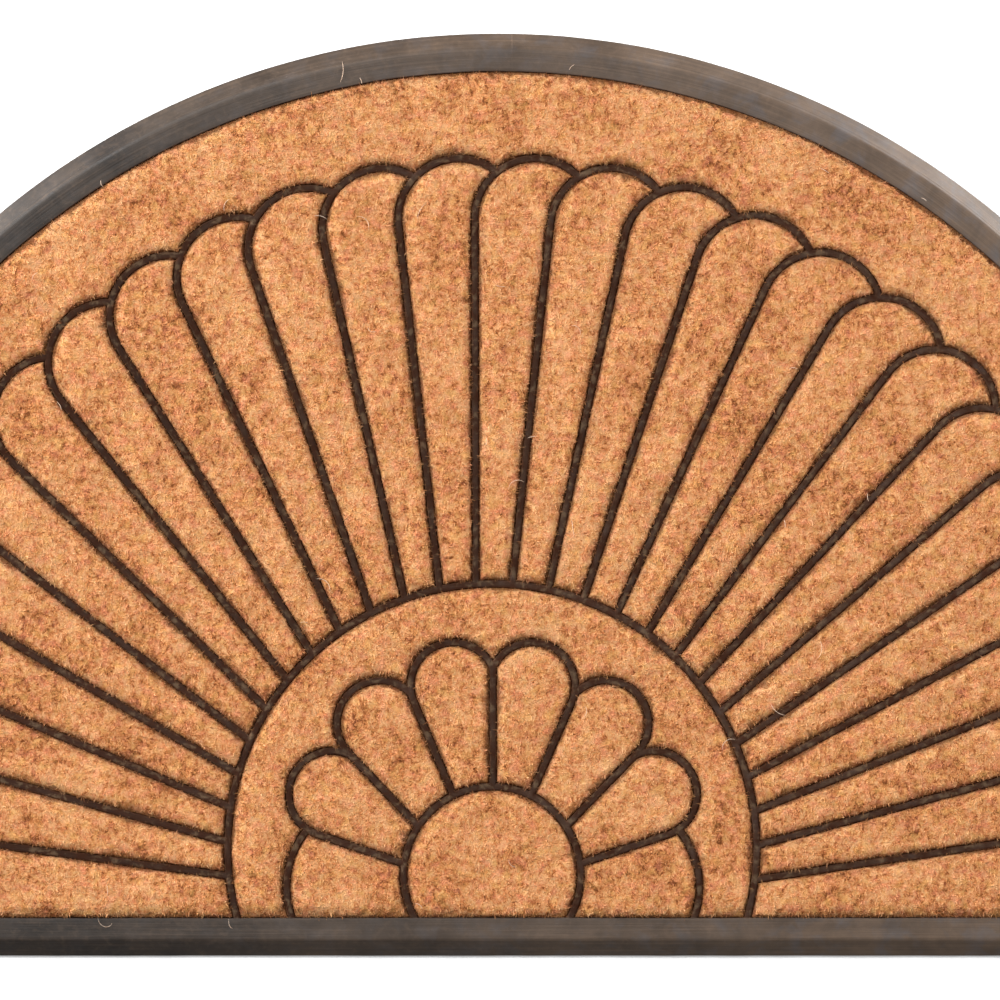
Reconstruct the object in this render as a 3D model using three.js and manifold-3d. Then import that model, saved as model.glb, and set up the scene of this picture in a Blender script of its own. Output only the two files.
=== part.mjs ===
// A half-round coir doormat, in millimetres, +Z up, lying flat on its moulded rubber tray.
// The tray is one moulding: a base sheet, a bevelled rim and thin raised ribs. The ribs draw a
// sunburst fan round a half daisy, and a patch of coir pile stands in every cell between them.
// The origin is at the middle of the mat's length and width, on its underside. +Y points to the arc.

import * as THREE from 'three';
import { mergeVertices } from 'three/addons/utils/BufferGeometryUtils.js';
import Module from 'manifold-3d';

const wasm = await Module();
wasm.setup();

// Outline: a half circle on short straight sides.
const WIDTH = 762;
const OUTER_RADIUS = WIDTH / 2;
const SIDE_LENGTH = 70.3;
const LENGTH = OUTER_RADIUS + SIDE_LENGTH;
const CORNER_RADIUS = 12;
const FRONT_Y = -LENGTH / 2;
const ARC_CENTRE_Y = FRONT_Y + SIDE_LENGTH;

// Heights above the floor.
const LIP_TOP = 2.5;
const BASE_TOP = 5;
const RUBBER_TOP = 10;
const COIR_TOP = 12;

// Rim: its whole width, and the part of that width that slopes down to the lip.
const RIM_WIDTH = 18.8;
const BEVEL_WIDTH = 7.6;

// Ribs, how far one runs into the next where they only meet, and the gap from rubber to coir.
const RIB_WIDTH = 3.4;
const RIB_OVERLAP = 0.4;
const GAP = 0.3;

// Fan: every rib runs from the ring to a round petal head, and over that head to the rib before.
const FAN_RIBS = 26;
const FAN_MIDDLE_RIB = (FAN_RIBS - 1) / 2;
const FAN_HEAD_DISTANCE = 290.7;
const FAN_HEAD_RADIUS = 29.6;
const FAN_HEAD_MIDDLE_DEG = 82.7;
const FAN_HEAD_PITCH_DEG = 7.35;
const FAN_HEAD_SPREAD_DEG = 0.0095;
const FAN_FOOT_MIDDLE_DEG = 89.6;
const FAN_FOOT_PITCH_DEG = 7.9;
const FAN_FOOT_CROWDING_DEG = 0.0012;

// Ring round the daisy, and the disc at the daisy's centre, a little to the left of the mat's middle.
const MEDALLION_X = -2.7;
const RING_RADIUS = 129.3;
const RING_CENTRE_Y = FRONT_Y + 52.7;
const DISC_RADIUS = 43.3;
const DISC_CENTRE_Y = FRONT_Y + 39.6;

// Daisy: petal heads in mirrored pairs from the top down, each with the foot of its lower rib.
const DAISY_X = -2.3;
const DAISY_CENTRE_Y = FRONT_Y + 50.9;
const DAISY_HEAD_DISTANCE = 83.7;
const DAISY_HEAD_RADIUS = 21;
const DAISY_PETALS = [
  { headDeg: 13.3, footDeg: 26 },
  { headDeg: 41.3, footDeg: 56.6 },
  { headDeg: 70.2, footDeg: 82.7 },
];

// Half petals at the daisy's two ends: each is closed by one flatter arc.
const HALF_PETAL_RADIUS = 44.3;
const HALF_PETAL_CENTRE_OUT = 56.6;
const HALF_PETAL_CENTRE_Y = FRONT_Y + 33.7;

// Facets: the largest step round an arc, by its radius.
const OUTLINE_STEP_DEG = 3;
const RING_STEP_DEG = 5;
const HEAD_STEP_DEG = 15;

const RUBBER = { color: 0x4b443f, roughness: 0.62, metalness: 0 };
const COIR = { color: 0xd8955f, roughness: 0.95, metalness: 0 };

function polar(centre, radius, degrees) {
  const angle = THREE.MathUtils.degToRad(degrees);
  return new THREE.Vector2(
    centre.x + radius * Math.cos(angle),
    centre.y + radius * Math.sin(angle),
  );
}

// Turns a closed geometry into a solid that can be joined and cut.
function solidOf(geometry) {
  geometry.deleteAttribute('normal');
  geometry.deleteAttribute('uv');
  const merged = mergeVertices(geometry, 1e-4);
  return new wasm.Manifold(new wasm.Mesh({
    numProp: 3,
    vertProperties: new Float32Array(merged.attributes.position.array),
    triVerts: new Uint32Array(merged.index.array),
  }));
}

function geometryOf(solid) {
  const mesh = solid.getMesh();
  const geometry = new THREE.BufferGeometry();
  geometry.setAttribute('position', new THREE.BufferAttribute(mesh.vertProperties, 3));
  geometry.setIndex(new THREE.BufferAttribute(mesh.triVerts, 1));
  geometry.computeVertexNormals();
  return geometry;
}

// An upright solid on a flat outline, from one height to another.
function upright(points, bottom, top) {
  const geometry = new THREE.ExtrudeGeometry(new THREE.Shape(points), {
    depth: top - bottom,
    bevelEnabled: false,
  });
  geometry.translate(0, 0, bottom);
  return solidOf(geometry);
}

// Points on an arc, both ends included, in equal steps no larger than stepDeg.
function arcPoints(centre, radius, fromDeg, toDeg, stepDeg) {
  const steps = Math.max(1, Math.ceil(Math.abs(toDeg - fromDeg) / stepDeg));
  return Array.from({ length: steps + 1 }, (_, k) => (
    polar(centre, radius, fromDeg + ((toDeg - fromDeg) * k) / steps)
  ));
}

const arcCentre = new THREE.Vector2(0, ARC_CENTRE_Y);

// The mat's outline moved inwards, from the front left corner round by the front.
function outlinePoints(inset) {
  const radius = OUTER_RADIUS - inset;
  const corner = Math.max(CORNER_RADIUS - inset, 0);
  const front = FRONT_Y + inset + corner;
  const left = new THREE.Vector2(corner - radius, front);
  const right = new THREE.Vector2(radius - corner, front);
  const leftCorner = corner > 0 ? arcPoints(left, corner, 180, 270, HEAD_STEP_DEG) : [left];
  const rightCorner = corner > 0 ? arcPoints(right, corner, 270, 360, HEAD_STEP_DEG) : [right];
  return [
    ...leftCorner,
    ...rightCorner,
    ...arcPoints(arcCentre, radius, 0, 180, OUTLINE_STEP_DEG),
  ];
}

// The outline of a bar of even width along a centre line, square at both ends.
function barOutline(line, width) {
  const left = [];
  const right = [];
  line.forEach((point, k) => {
    const before = line[Math.max(k - 1, 0)];
    const after = line[Math.min(k + 1, line.length - 1)];
    const arriving = point.clone().sub(before).normalize();
    const leaving = after.clone().sub(point).normalize();
    const along = arriving.clone().add(leaving).normalize();
    const mitre = k > 0 && k < line.length - 1 ? along.dot(arriving) : 1;
    const side = new THREE.Vector2(-along.y, along.x).multiplyScalar(width / 2 / mitre);
    left.push(point.clone().add(side));
    right.unshift(point.clone().sub(side));
  });
  return [...right, ...left];
}

// Where a line from a point touches a circle. Side is 1 for the left of the circle as it is seen
// from the point, and -1 for its right.
function touchPoint(point, centre, radius, side) {
  const toCentre = centre.clone().sub(point);
  const distance = toCentre.length();
  const turn = Math.asin(radius / distance) * side;
  const reach = Math.sqrt(distance * distance - radius * radius);
  return toCentre.normalize().rotateAround(new THREE.Vector2(), turn).multiplyScalar(reach).add(point);
}

// The place where two circles cross, on the side away from a point.
function outerCrossing(centreA, radiusA, centreB, radiusB, awayFrom) {
  const apart = centreA.distanceTo(centreB);
  const along = (apart * apart + radiusA * radiusA - radiusB * radiusB) / (2 * apart);
  const rise = Math.sqrt(radiusA * radiusA - along * along);
  const direction = centreB.clone().sub(centreA).normalize();
  const foot = direction.clone().multiplyScalar(along).add(centreA);
  const across = new THREE.Vector2(-direction.y, direction.x);
  const outwards = Math.sign(across.dot(foot.clone().sub(awayFrom)));
  return across.multiplyScalar(rise * outwards).add(foot);
}

function bearing(centre, point) {
  return THREE.MathUtils.radToDeg(Math.atan2(point.y - centre.y, point.x - centre.x));
}

// One rib: straight from its foot to where it touches its petal head, then over the head.
function ribLine(foot, head, headRadius, endPoint, side) {
  const touch = touchPoint(foot, head, headRadius, side);
  const from = bearing(head, touch);
  let to = bearing(head, endPoint);
  while ((from - to) * side < 0) {
    to -= 360 * side;
  }
  return [foot, ...arcPoints(head, headRadius, from, to, HEAD_STEP_DEG)];
}

const ringCentre = new THREE.Vector2(MEDALLION_X, RING_CENTRE_Y);
const discCentre = new THREE.Vector2(MEDALLION_X, DISC_CENTRE_Y);
const daisyCentre = new THREE.Vector2(DAISY_X, DAISY_CENTRE_Y);

// Number 0 is the half petal at the front right, and FAN_RIBS the one at the front left.
function fanHead(number) {
  const k = number - FAN_MIDDLE_RIB;
  const degrees = FAN_HEAD_MIDDLE_DEG + FAN_HEAD_PITCH_DEG * k + FAN_HEAD_SPREAD_DEG * k * k;
  return polar(arcCentre, FAN_HEAD_DISTANCE, degrees);
}

function fanFoot(number) {
  const k = number - FAN_MIDDLE_RIB;
  const degrees = FAN_FOOT_MIDDLE_DEG + FAN_FOOT_PITCH_DEG * k - FAN_FOOT_CROWDING_DEG * k ** 3;
  return polar(ringCentre, RING_RADIUS, degrees);
}

// The point where a circle comes down to the middle of the front rim, on its right or left.
function onFrontRim(centre, radius, side) {
  const y = FRONT_Y + RIM_WIDTH / 2;
  const drop = Math.min((centre.y - y) / radius, 1);
  return new THREE.Vector2(centre.x + side * radius * Math.sqrt(1 - drop * drop), y);
}

// The notch between a petal head and the one before it.
function fanNotch(number) {
  const radius = FAN_HEAD_RADIUS;
  return outerCrossing(fanHead(number), radius, fanHead(number - 1), radius, arcCentre);
}

function fanLines() {
  const lines = [];
  for (let number = 0; number < FAN_RIBS; number += 1) {
    const head = fanHead(number);
    const end = number === 0 ? onFrontRim(head, FAN_HEAD_RADIUS, 1) : fanNotch(number);
    lines.push(ribLine(fanFoot(number), head, FAN_HEAD_RADIUS, end, 1));
  }
  // The last half petal has no rib of its own, so its head runs down to the front rim.
  const head = fanHead(FAN_RIBS);
  const notch = fanNotch(FAN_RIBS);
  const over = arcPoints(head, FAN_HEAD_RADIUS, bearing(head, notch), 180, HEAD_STEP_DEG);
  const down = new THREE.Vector2(head.x - FAN_HEAD_RADIUS, FRONT_Y + RIM_WIDTH / 2);
  lines.push([...over, down]);
  return lines;
}

// A rib round a circle whose ends run into the front rim.
function hoopLine(centre, radius) {
  const right = bearing(centre, onFrontRim(centre, radius, 1));
  const left = bearing(centre, onFrontRim(centre, radius, -1)) + 360;
  return arcPoints(centre, radius, right, left, RING_STEP_DEG);
}

// The arc that closes a half petal, from the last whole petal's head down to the front rim.
function halfPetalLine(lastHead, side) {
  const centre = new THREE.Vector2(DAISY_X - side * HALF_PETAL_CENTRE_OUT, HALF_PETAL_CENTRE_Y);
  const start = outerCrossing(centre, HALF_PETAL_RADIUS, lastHead, DAISY_HEAD_RADIUS, daisyCentre);
  const end = onFrontRim(centre, HALF_PETAL_RADIUS, -side);
  const from = bearing(centre, start);
  const turn = THREE.MathUtils.euclideanModulo((bearing(centre, end) - from) * side, 360) * side;
  return arcPoints(centre, HALF_PETAL_RADIUS, from, from + turn, HEAD_STEP_DEG);
}

// Half of the daisy, on the left with side 1 and on the right with side -1.
function daisyLines(side) {
  const head = (degrees) => polar(daisyCentre, DAISY_HEAD_DISTANCE, 90 + side * degrees);
  const heads = DAISY_PETALS.map((petal) => head(petal.headDeg));
  const radius = DAISY_HEAD_RADIUS;
  const middleTop = new THREE.Vector2(
    DAISY_X,
    heads[0].y + Math.sqrt(radius ** 2 - (heads[0].x - DAISY_X) ** 2),
  );
  const lines = DAISY_PETALS.map((petal, k) => {
    const end = k === 0
      ? middleTop
      : outerCrossing(heads[k], radius, heads[k - 1], radius, daisyCentre);
    const foot = polar(discCentre, DISC_RADIUS, 90 + side * petal.footDeg);
    return ribLine(foot, heads[k], radius, end, side);
  });
  lines.push(halfPetalLine(heads[heads.length - 1], side));
  return { lines, middleTop };
}

function patternLines() {
  const left = daisyLines(1);
  const right = daisyLines(-1);
  const middleFoot = new THREE.Vector2(DAISY_X, DISC_CENTRE_Y + DISC_RADIUS);
  const middleTop = new THREE.Vector2(DAISY_X, left.middleTop.y + RIB_OVERLAP);
  return [
    ...fanLines(),
    hoopLine(ringCentre, RING_RADIUS),
    hoopLine(discCentre, DISC_RADIUS),
    ...left.lines,
    ...right.lines,
    [middleFoot, middleTop],
  ];
}

// All the ribs as one solid of the given width, from one height to another.
function ribs(lines, width, bottom, top) {
  return lines
    .map((line) => upright(barOutline(line, width), bottom, top))
    .reduce((whole, bar) => whole.add(bar));
}

// The blank that the tray is cut from: square up to the lip, and bevelled from there to the top.
function trayBlank() {
  const bevelRise = RUBBER_TOP - LIP_TOP;
  const geometry = new THREE.ExtrudeGeometry(new THREE.Shape(outlinePoints(0)), {
    depth: LIP_TOP + bevelRise,
    bevelEnabled: true,
    bevelSegments: 1,
    bevelThickness: bevelRise,
    bevelSize: BEVEL_WIDTH,
    bevelOffset: -BEVEL_WIDTH,
  });
  geometry.translate(0, 0, -bevelRise);
  const below = new THREE.BoxGeometry(2 * WIDTH, 2 * LENGTH, 4 * bevelRise);
  below.translate(0, 0, -2 * bevelRise);
  return solidOf(geometry).subtract(solidOf(below));
}

function tray(lines) {
  const well = upright(outlinePoints(RIM_WIDTH), BASE_TOP, RUBBER_TOP + 1);
  const pattern = ribs(lines, RIB_WIDTH, BASE_TOP, RUBBER_TOP + 1);
  return trayBlank().subtract(well.subtract(pattern));
}

// One patch of coir for each cell that the ribs leave inside the rim.
function coirPatches(lines) {
  const field = upright(outlinePoints(RIM_WIDTH + GAP), BASE_TOP + GAP, COIR_TOP);
  const channels = ribs(lines, RIB_WIDTH + 2 * GAP, BASE_TOP, COIR_TOP + 1);
  return field.subtract(channels).decompose();
}

// Where a patch lies, seen from above: the middle of its box.
function middleOf(patch) {
  const { min, max } = patch.boundingBox();
  return new THREE.Vector2((min[0] + max[0]) / 2, (min[1] + max[1]) / 2);
}

// Names for the patches. The border is the widest, and the ring band the widest inside the ring.
// The disc lies on the disc's own centre. Petals are numbered from the right round to the left, as
// they are seen from the middle of the front edge.
function namedPatches(patches) {
  const span = (patch) => patch.boundingBox().max[0] - patch.boundingBox().min[0];
  const frontMiddle = new THREE.Vector2(MEDALLION_X, FRONT_Y);
  const turn = (patch) => bearing(frontMiddle, middleOf(patch));
  const inRing = (patch) => middleOf(patch).distanceTo(ringCentre) < RING_RADIUS;
  const inDisc = (patch) => middleOf(patch).distanceTo(discCentre) < DISC_RADIUS;
  const numbered = (solids, prefix) => solids
    .sort((a, b) => turn(a) - turn(b))
    .map((solid, k) => ({ name: `${prefix}_${k + 1}`, solid }));

  const [border, ...others] = [...patches].sort((a, b) => span(b) - span(a));
  const [ringBand, ...daisy] = others.filter(inRing);
  return [
    { name: 'coir_border', solid: border },
    { name: 'coir_ring_band', solid: ringBand },
    { name: 'coir_daisy_disc', solid: daisy.find(inDisc) },
    ...numbered(daisy.filter((patch) => !inDisc(patch)), 'coir_daisy_petal'),
    ...numbered(others.filter((patch) => !inRing(patch)), 'coir_fan_petal'),
  ];
}

function mesh(name, solid, finish) {
  const piece = new THREE.Mesh(geometryOf(solid), new THREE.MeshStandardMaterial(finish));
  piece.name = name;
  return piece;
}

const lines = patternLines();
const group = new THREE.Group();
group.add(mesh('tray', tray(lines), RUBBER));
namedPatches(coirPatches(lines)).forEach(({ name, solid }) => group.add(mesh(name, solid, COIR)));

export default group;
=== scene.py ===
"""Looks of a half-round coir doormat that lies on its moulded rubber tray.

Sizes are in metres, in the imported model's frame: the origin is under the middle of the mat, +X runs
along the front edge, +Y to the arc and +Z up. Flat outlines are complex numbers, x + y * 1j.
"""

import cmath
import logging
import math
from collections.abc import Iterable, Sequence
from dataclasses import dataclass
from enum import Enum

import bmesh
import bpy
import numpy as np
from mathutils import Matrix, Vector, noise
from mathutils.geometry import delaunay_2d_cdt
from mathutils.kdtree import KDTree


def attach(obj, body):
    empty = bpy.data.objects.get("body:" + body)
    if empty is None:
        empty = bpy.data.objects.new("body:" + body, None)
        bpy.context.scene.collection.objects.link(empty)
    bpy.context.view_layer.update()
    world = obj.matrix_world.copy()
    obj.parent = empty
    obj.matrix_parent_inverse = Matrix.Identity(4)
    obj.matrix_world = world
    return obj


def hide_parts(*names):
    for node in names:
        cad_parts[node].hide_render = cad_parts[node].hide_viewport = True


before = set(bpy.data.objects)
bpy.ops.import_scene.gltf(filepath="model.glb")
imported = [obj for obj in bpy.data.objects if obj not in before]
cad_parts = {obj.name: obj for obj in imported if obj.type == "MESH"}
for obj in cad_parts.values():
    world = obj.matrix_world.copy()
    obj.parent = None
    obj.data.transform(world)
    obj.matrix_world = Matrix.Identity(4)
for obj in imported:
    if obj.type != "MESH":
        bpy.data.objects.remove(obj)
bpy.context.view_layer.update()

BODY = "root"
BANDS = ("coir_border", "coir_ring_band")
MM = 0.001
LOG = logging.getLogger("doormat")

Socket = bpy.types.NodeSocket
Tree = bpy.types.NodeTree
Sockets = bpy.types.NodeOutputs
Node = bpy.types.Node
Piece = bpy.types.Object
Material = bpy.types.Material
Mesh = bpy.types.Mesh
Outline = list[complex]
Colour = tuple[float, float, float, float]
Value = float | int | bool | tuple | Socket | Material | str


class Slot(Enum):
    """Names for the rubber and coir materials."""

    RUBBER = "rubber"
    COIR = "coir"


class Held(Enum):
    """How a sheet is held."""

    LAID = "laid"


def srgb(red: float, green: float, blue: float) -> Colour:
    """Turns a screen colour into a linear one.

    Args:
        red: The red part, from 0 to 255.
        green: The green part, from 0 to 255.
        blue: The blue part, from 0 to 255.

    Returns:
        The linear colour with full alpha.
    """
    def line(part: float) -> float:
        """Linearises one part."""
        share = part / 255
        return share / 12.92 if share <= 0.04045 else ((share + 0.055) / 1.055) ** 2.4

    return (line(red), line(green), line(blue), 1.0)


class NodeCanvas:
    """Adds nodes to one node tree and joins their sockets."""

    def __init__(self, tree: Tree) -> None:
        """Keeps the tree that the nodes go into."""
        self.tree = tree

    def socket(self, node: Node, key: str | int) -> Socket:
        """Finds an input.

        Args:
            node: The node.
            key: The input's name, or its place among the inputs in use.

        Returns:
            The first input in use that fits.
        """
        used = [socket for socket in node.inputs if socket.enabled]
        if isinstance(key, int):
            return used[key]
        return next(socket for socket in used if socket.name == key)

    def node(self, kind: str, inputs: dict[str | int, Value] | None = None,
             **settings: Value) -> Node:
        """Adds a node.

        Args:
            kind: Blender's name for the kind of node.
            inputs: A value or a socket to join for each input.
            **settings: The node's own settings.

        Returns:
            The node.
        """
        made = self.tree.nodes.new(kind)
        for name, value in settings.items():
            setattr(made, name, value)
        for key, value in (inputs or {}).items():
            socket = self.socket(made, key)
            if isinstance(value, Socket):
                self.tree.links.new(value, socket)
            else:
                socket.default_value = value
        return made

    def maths(self, operation: str, *values: float | Socket) -> Socket:
        """Adds a Math node.

        Args:
            operation: The operation.
            *values: The numbers or sockets that it works on.

        Returns:
            The result's socket.
        """
        made = self.node("ShaderNodeMath", dict(enumerate(values)), operation=operation)
        return made.outputs[0]

    def times(self, first: Socket, second: float | Socket) -> Socket:
        """Multiplies a socket's value."""
        return self.maths("MULTIPLY", first, second)

    def plus(self, total: Socket, *others: float | Socket) -> Socket:
        """Adds up values.

        Args:
            total: The first value's socket.
            *others: The values to add to it, in order.

        Returns:
            The sum's socket.
        """
        for other in others:
            total = self.maths("ADD", total, other)
        return total

    def away_from(self, value: Socket, middle: float) -> Socket:
        """Gives the distance of a value from a number."""
        return self.maths("ABSOLUTE", self.maths("SUBTRACT", value, middle))

    def vector_maths(self, operation: str, *values: tuple | Socket,
                     scale: float | Socket | None = None) -> Socket:
        """Adds a Vector Math node.

        Args:
            operation: The operation.
            *values: The vectors or sockets that it works on.
            scale: The factor, for the operation SCALE.

        Returns:
            The resulting vector's socket.
        """
        inputs: dict[str | int, Value] = dict(enumerate(values))
        if scale is not None:
            inputs["Scale"] = scale
        return self.node("ShaderNodeVectorMath", inputs, operation=operation).outputs["Vector"]

    def ranged(self, value: Socket, from_min: float | Socket, from_max: float | Socket,
               to_min: float | Socket = 0.0, to_max: float = 1.0) -> Socket:
        """Maps one range onto another and stays within it.

        Args:
            value: The value's socket.
            from_min: The value that gives to_min.
            from_max: The value that gives to_max.
            to_min: The first result.
            to_max: The last result.

        Returns:
            The result's socket.
        """
        made = self.node(
            "ShaderNodeMapRange",
            {"Value": value, "From Min": from_min, "From Max": from_max,
             "To Min": to_min, "To Max": to_max},
            interpolation_type="LINEAR", clamp=True)
        return made.outputs["Result"]

    def noise_node(self, vector: Socket, scale: float | Socket, detail: float = 2.0,
                   roughness: float = 0.5, distortion: float = 0.0) -> Node:
        """Adds a Noise Texture node.

        Args:
            vector: Where the noise is read.
            scale: How many waves a unit of that vector has.
            detail: How many finer layers lie on the first.
            roughness: How much those layers count.
            distortion: How far the noise is twisted.

        Returns:
            The node.
        """
        return self.node(
            "ShaderNodeTexNoise",
            {"Vector": vector, "Scale": scale, "Detail": detail, "Roughness": roughness,
             "Distortion": distortion})

    def noise(self, vector: Socket, scale: float | Socket, **shape: float) -> Socket:
        """Reads a noise's value. Its shape is given as for noise_node."""
        return self.noise_node(vector, scale, **shape).outputs[0]

    def wander(self, vector: Socket, scale: float | Socket, detail: float,
               strength: Socket) -> Socket:
        """Reads a noise as a shift in any direction.

        Args:
            vector: Where the noise is read.
            scale: How many waves a unit of that vector has.
            detail: How many finer layers lie on the first.
            strength: The shift's size.

        Returns:
            The shift's socket.
        """
        colour = self.noise_node(vector, scale, detail).outputs["Color"]
        centred = self.vector_maths("SUBTRACT", colour, (0.5, 0.5, 0.5))
        return self.vector_maths("SCALE", centred, scale=strength)

    def draw(self, seed: Socket, number: int, low: Value, high: Value,
             data_type: str = "FLOAT") -> Socket:
        """Draws a random value for each point.

        Args:
            seed: The tree's seed.
            number: Added to the seed, so that each draw is its own.
            low: The lowest value.
            high: The highest value.
            data_type: FLOAT or FLOAT_VECTOR.

        Returns:
            The value's socket.
        """
        made = self.node(
            "FunctionNodeRandomValue",
            {"Min": low, "Max": high, "Seed": self.maths("ADD", seed, float(number))},
            data_type=data_type)
        return next(socket for socket in made.outputs if socket.enabled)

    def named(self, name: str, data_type: str) -> Socket:
        """Reads an attribute stored on a mesh, in a Geometry Nodes tree."""
        made = self.node("GeometryNodeInputNamedAttribute", {"Name": name}, data_type=data_type)
        return made.outputs["Attribute"]

    def mixed(self, factor: float | Socket, first: Value, second: Value) -> Socket:
        """Mixes two colours.

        Args:
            factor: How much of the second shows.
            first: The first colour or its socket.
            second: The second colour or its socket.

        Returns:
            The mixed colour's socket.
        """
        made = self.node("ShaderNodeMix", {"Factor": factor, "A": first, "B": second},
                         data_type="RGBA", blend_type="MIX")
        return next(socket for socket in made.outputs if socket.enabled)

    def ramp(self, factor: Socket, stops: Sequence[tuple[float, Colour]]) -> Socket:
        """Adds a colour ramp.

        Args:
            factor: Where on the ramp the colour is read.
            stops: Each stop's place and colour, in order.

        Returns:
            The colour's socket.
        """
        made = self.node("ShaderNodeValToRGB", {"Fac": factor})
        elements = made.color_ramp.elements
        for _ in range(len(stops) - 2):
            elements.new(0.5)
        for element, (place, colour) in zip(elements, stops):
            element.position = place
            element.color = colour
        return made.outputs["Color"]


def new_group(name: str, kind: str, inputs: Iterable[tuple[str, str, Value | None]],
              outputs: Iterable[tuple[str, str]]) -> tuple[NodeCanvas, Node, Node]:
    """Starts a node group with named sockets.

    Args:
        name: The group's name.
        kind: ShaderNodeTree or GeometryNodeTree.
        inputs: Each input's name, socket type and default, or None for no default.
        outputs: Each output's name and socket type.

    Returns:
        The canvas to draw on, the group's input node and its output node.
    """
    tree = bpy.data.node_groups.new(name, kind)
    for label, socket_type, default in inputs:
        made = tree.interface.new_socket(name=label, in_out="INPUT", socket_type=socket_type)
        if default is not None:
            made.default_value = default
    for label, socket_type in outputs:
        tree.interface.new_socket(name=label, in_out="OUTPUT", socket_type=socket_type)
    canvas = NodeCanvas(tree)
    return canvas, canvas.node("NodeGroupInput"), canvas.node("NodeGroupOutput")


def grown(source: Piece, tree: Tree, name: str, values: dict[str, Value]) -> Piece:
    """Runs a Geometry Nodes tree on an object and keeps the result as a plain mesh.

    Args:
        source: The object that the tree reads. It is removed afterwards.
        tree: The Geometry Nodes tree.
        name: The new piece's name.
        values: The tree's inputs by name.

    Returns:
        The new piece, at the origin and with no modifier.
    """
    modifier = source.modifiers.new(tree.name, "NODES")
    modifier.node_group = tree
    for item in tree.interface.items_tree:
        if item.item_type == "SOCKET" and item.in_out == "INPUT" and item.name in values:
            modifier[item.identifier] = values[item.name]
    depsgraph = bpy.context.evaluated_depsgraph_get()
    mesh = bpy.data.meshes.new_from_object(
        source.evaluated_get(depsgraph), preserve_all_data_layers=True, depsgraph=depsgraph)
    source.modifiers.remove(modifier)
    bpy.data.objects.remove(source)
    mesh.name = name
    return placed(name, mesh)


def placed(name: str, data: bpy.types.ID) -> Piece:
    """Puts a mesh, curve, light or camera in the scene, at the origin.

    Args:
        name: The object's name.
        data: What it shows.

    Returns:
        The object.
    """
    made = bpy.data.objects.new(name, data)
    bpy.context.scene.collection.objects.link(made)
    return made


def mesh_from(name: str, points: np.ndarray, faces: Sequence[Sequence[int]]) -> Mesh:
    """Makes a mesh from points and faces.

    Args:
        name: The mesh's name.
        points: The points, one row each.
        faces: The faces, as lists of point numbers.

    Returns:
        The mesh.
    """
    mesh = bpy.data.meshes.new(name)
    mesh.from_pydata(points.tolist(), [], faces)
    mesh.update()
    return mesh


def mesh_points(mesh: Mesh) -> np.ndarray:
    """Returns a mesh's points, one row each."""
    flat = np.empty(len(mesh.vertices) * 3)
    mesh.vertices.foreach_get("co", flat)
    return flat.reshape(-1, 3)


def store(mesh: Mesh, name: str, values: np.ndarray) -> None:
    """Stores one number for each point of a mesh.

    Args:
        mesh: The mesh.
        name: The attribute's name.
        values: The numbers.
    """
    made = mesh.attributes.new(name, "FLOAT", "POINT")
    made.data.foreach_set("value", np.asarray(values, dtype=np.float32))


@dataclass(frozen=True)
class MatSizes:
    """The mat's own sizes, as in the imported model."""

    outer_radius: float = 381 * MM
    side_length: float = 70.3 * MM
    corner_radius: float = 12 * MM
    lip_top: float = 2.5 * MM
    base_top: float = 5 * MM
    rubber_top: float = 10 * MM
    rim_width: float = 18.8 * MM
    bevel_width: float = 7.6 * MM
    rib_width: float = 3.4 * MM
    gap: float = 0.3 * MM
    corner_steps: int = 15
    front_steps: int = 184
    side_steps: int = 14
    arc_steps: int = 360

    @property
    def front(self) -> float:
        """The front edge's y."""
        return -(self.outer_radius + self.side_length) / 2

    @property
    def arc_centre(self) -> complex:
        """The middle of the half circle."""
        return complex(0, self.front + self.side_length)

    def inset(self, points: np.ndarray) -> np.ndarray:
        """How far points lie inside the mat's outline, its corners taken as square.

        Args:
            points: Complex points.

        Returns:
            Each point's distance from the outline.
        """
        from_arc = self.outer_radius - np.abs(points - self.arc_centre)
        from_side = self.outer_radius - np.abs(points.real)
        from_round = np.where(points.imag > self.arc_centre.imag, from_arc, from_side)
        return np.minimum(from_round, points.imag - self.front)

    def outline(self, inset: float) -> Outline:
        """The mat's outline moved inwards, with the same number of points at any inset.

        Args:
            inset: How far inwards.

        Returns:
            The points, from the front left corner round by the front.
        """
        radius = self.outer_radius - inset
        corner = max(self.corner_radius - inset, 0.0)
        front = self.front + inset + corner
        left = complex(corner - radius, front)
        right = complex(radius - corner, front)
        middle = self.arc_centre.imag
        points = arc(left, corner, 180, 270, self.corner_steps)
        points += straight(left - 1j * corner, right - 1j * corner, self.front_steps)[1:-1]
        points += arc(right, corner, 270, 360, self.corner_steps)
        points += straight(right + corner, complex(radius, middle), self.side_steps)[1:-1]
        points += arc(self.arc_centre, radius, 0, 180, self.arc_steps)
        points += straight(complex(-radius, middle), left - corner, self.side_steps)[1:-1]
        return points


def arc(centre: complex, radius: float, start: float, end: float, steps: int) -> Outline:
    """Points on an arc, both ends included.

    Args:
        centre: The circle's middle.
        radius: Its radius.
        start: The first point's bearing, in degrees.
        end: The last point's bearing, in degrees.
        steps: The number of equal steps.

    Returns:
        The points.
    """
    return [centre + cmath.rect(radius, math.radians(start + (end - start) * k / steps))
            for k in range(steps + 1)]


def straight(start: complex, end: complex, steps: int) -> Outline:
    """Evenly spaced points on a straight line, both ends included."""
    return [start + (end - start) * k / steps for k in range(steps + 1)]


def bearing(centre: complex, point: complex) -> float:
    """The direction from one point to another, in degrees."""
    return math.degrees(cmath.phase(point - centre))


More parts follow.
